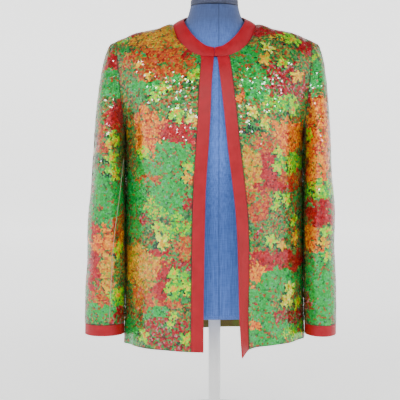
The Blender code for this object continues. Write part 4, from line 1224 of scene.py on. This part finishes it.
def linen(name, pale, deep, seam):
    """Linen with upright slubs, a plain weave, and, if asked for, a seam down the front and a neck
    painted darker as shade.
    """
    material, tree, shader = start_material(name, Roughness=0.82, Sheen_Weight=0.12)
    place = add_node(tree, "TexCoord").outputs["Object"]
    stretch = add_node(tree, "Mapping", {"Vector": place, "Scale": (520, 520, 26)})
    slubs = speckle(tree, stretch.outputs["Vector"], 1.0, 5.0, 0.65)
    across = add_node(tree, "Mapping", {"Vector": place, "Scale": (60, 60, 700)})
    wefts = speckle(tree, across.outputs["Vector"], 1.0, 3.0)
    yarns = compute(tree, "MULTIPLY_ADD", wefts, 0.35, slubs)
    colour = two_tones(tree, yarns, 0.50, deep, 0.86, pale)
    if seam:
        split = add_node(tree, "SeparateXYZ", {"Vector": place}).outputs
        off = compute(tree, "SUBTRACT", split["X"], FORM_SEAM_X)
        fold = spread(tree, compute(tree, "ABSOLUTE", off), 0.0003, 0.0013, 0.45, 1.0)
        # Painted shade: the neck's colour is darkened and greyed towards its top.
        painted_neck_shade = spread(tree, split["Z"], 0.755, 0.845, 0.0, 0.80)
        colour = dimmed(tree, mixed(tree, painted_neck_shade, colour, linear("#2A3450")), fold)
    wire(shader, Base_Color=colour, Normal=relief(tree, yarns, 0.5, 0.0006))
    return material


blue_linen = linen("blue_linen", "#5680D6", "#365AA8", seam=True)
dark_linen = linen("dark_slate_linen", "#3E4660", "#262C40", seam=False)
enamel, _, _ = start_material(
    "white_stoved_enamel", Roughness=0.28, Coat_Weight=0.3, Base_Color="#F0F0EE"
)
print("the stand's finishes:", blue_linen.name, dark_linen.name, enamel.name)

# %% [markdown]
# The form and its cap are round bodies with a few sharp edges. A subdivided copy rounds them, and
# edges that turn by more than 40 degrees are held sharp, so that the form still ends in a clean
# lower edge.

# %% The dress form and its cap
SHARP = math.radians(40)


def rounded_copy(node, name):
    """A smoother copy of a solid, with its sharp edges kept."""
    solid = bpy.data.objects[node]
    mesh = bmesh.new()
    mesh.from_mesh(solid.data)
    mesh.transform(solid.matrix_world)
    bmesh.ops.remove_doubles(mesh, verts=mesh.verts, dist=1e-6)
    bmesh.ops.join_triangles(
        mesh, faces=mesh.faces, angle_face_threshold=0.35, angle_shape_threshold=1.2
    )
    held = mesh.edges.layers.float.new("crease_edge")
    for edge in mesh.edges:
        if len(edge.link_faces) == 2 and edge.calc_face_angle() > SHARP:
            edge[held] = 0.8
    piece = add_object(name, bpy.data.meshes.new(name))
    mesh.to_mesh(piece.data)
    mesh.free()
    pick(piece)
    rounder = piece.modifiers.new("rounder", "SUBSURF")
    rounder.levels = 2
    bpy.ops.object.modifier_apply(modifier="rounder")
    bpy.ops.object.shade_smooth_by_angle(angle=SHARP)
    return piece


form = rounded_copy("dress_form", "form_linen")
finish_piece(form, blue_linen)
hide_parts("dress_form")
cap = rounded_copy("neck_cap", "cap_linen")
finish_piece(cap, dark_linen)
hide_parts("neck_cap")
print("the form has", len(form.data.polygons), "faces and its cap", len(cap.data.polygons))

# %% [markdown]
# The stand is a steel tube on a round plate, both in white enamel. They are turned parts, so each
# is a plain cylinder with its edges broken.

# %% The post and the base
def turned(name, node, radius, low, high, sides, edge):
    """A round bar or plate between two heights, with its edges rounded."""
    bpy.ops.mesh.primitive_cylinder_add(vertices=sides, radius=radius, depth=high - low,
                                        location=(0, 0, (low + high) / 2))
    piece = bpy.context.object
    piece.name = name
    bpy.ops.object.transform_apply(location=True, rotation=True, scale=True)
    broken = piece.modifiers.new("broken", "BEVEL")
    broken.width = edge
    broken.segments = 3
    broken.angle_limit = math.radians(50)
    bpy.ops.object.modifier_apply(modifier="broken")
    bpy.ops.object.shade_smooth_by_angle(angle=SHARP)
    finish_piece(piece, enamel)
    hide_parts(node)


turned("post_enamel", "stand_post", 0.0125, 0.0123, 0.2287, 48, 0.0008)
turned("base_enamel", "stand_base", 0.150, 0.0, 0.012, 128, 0.003)
print("the stand is 300 mm across and its post 25 mm")
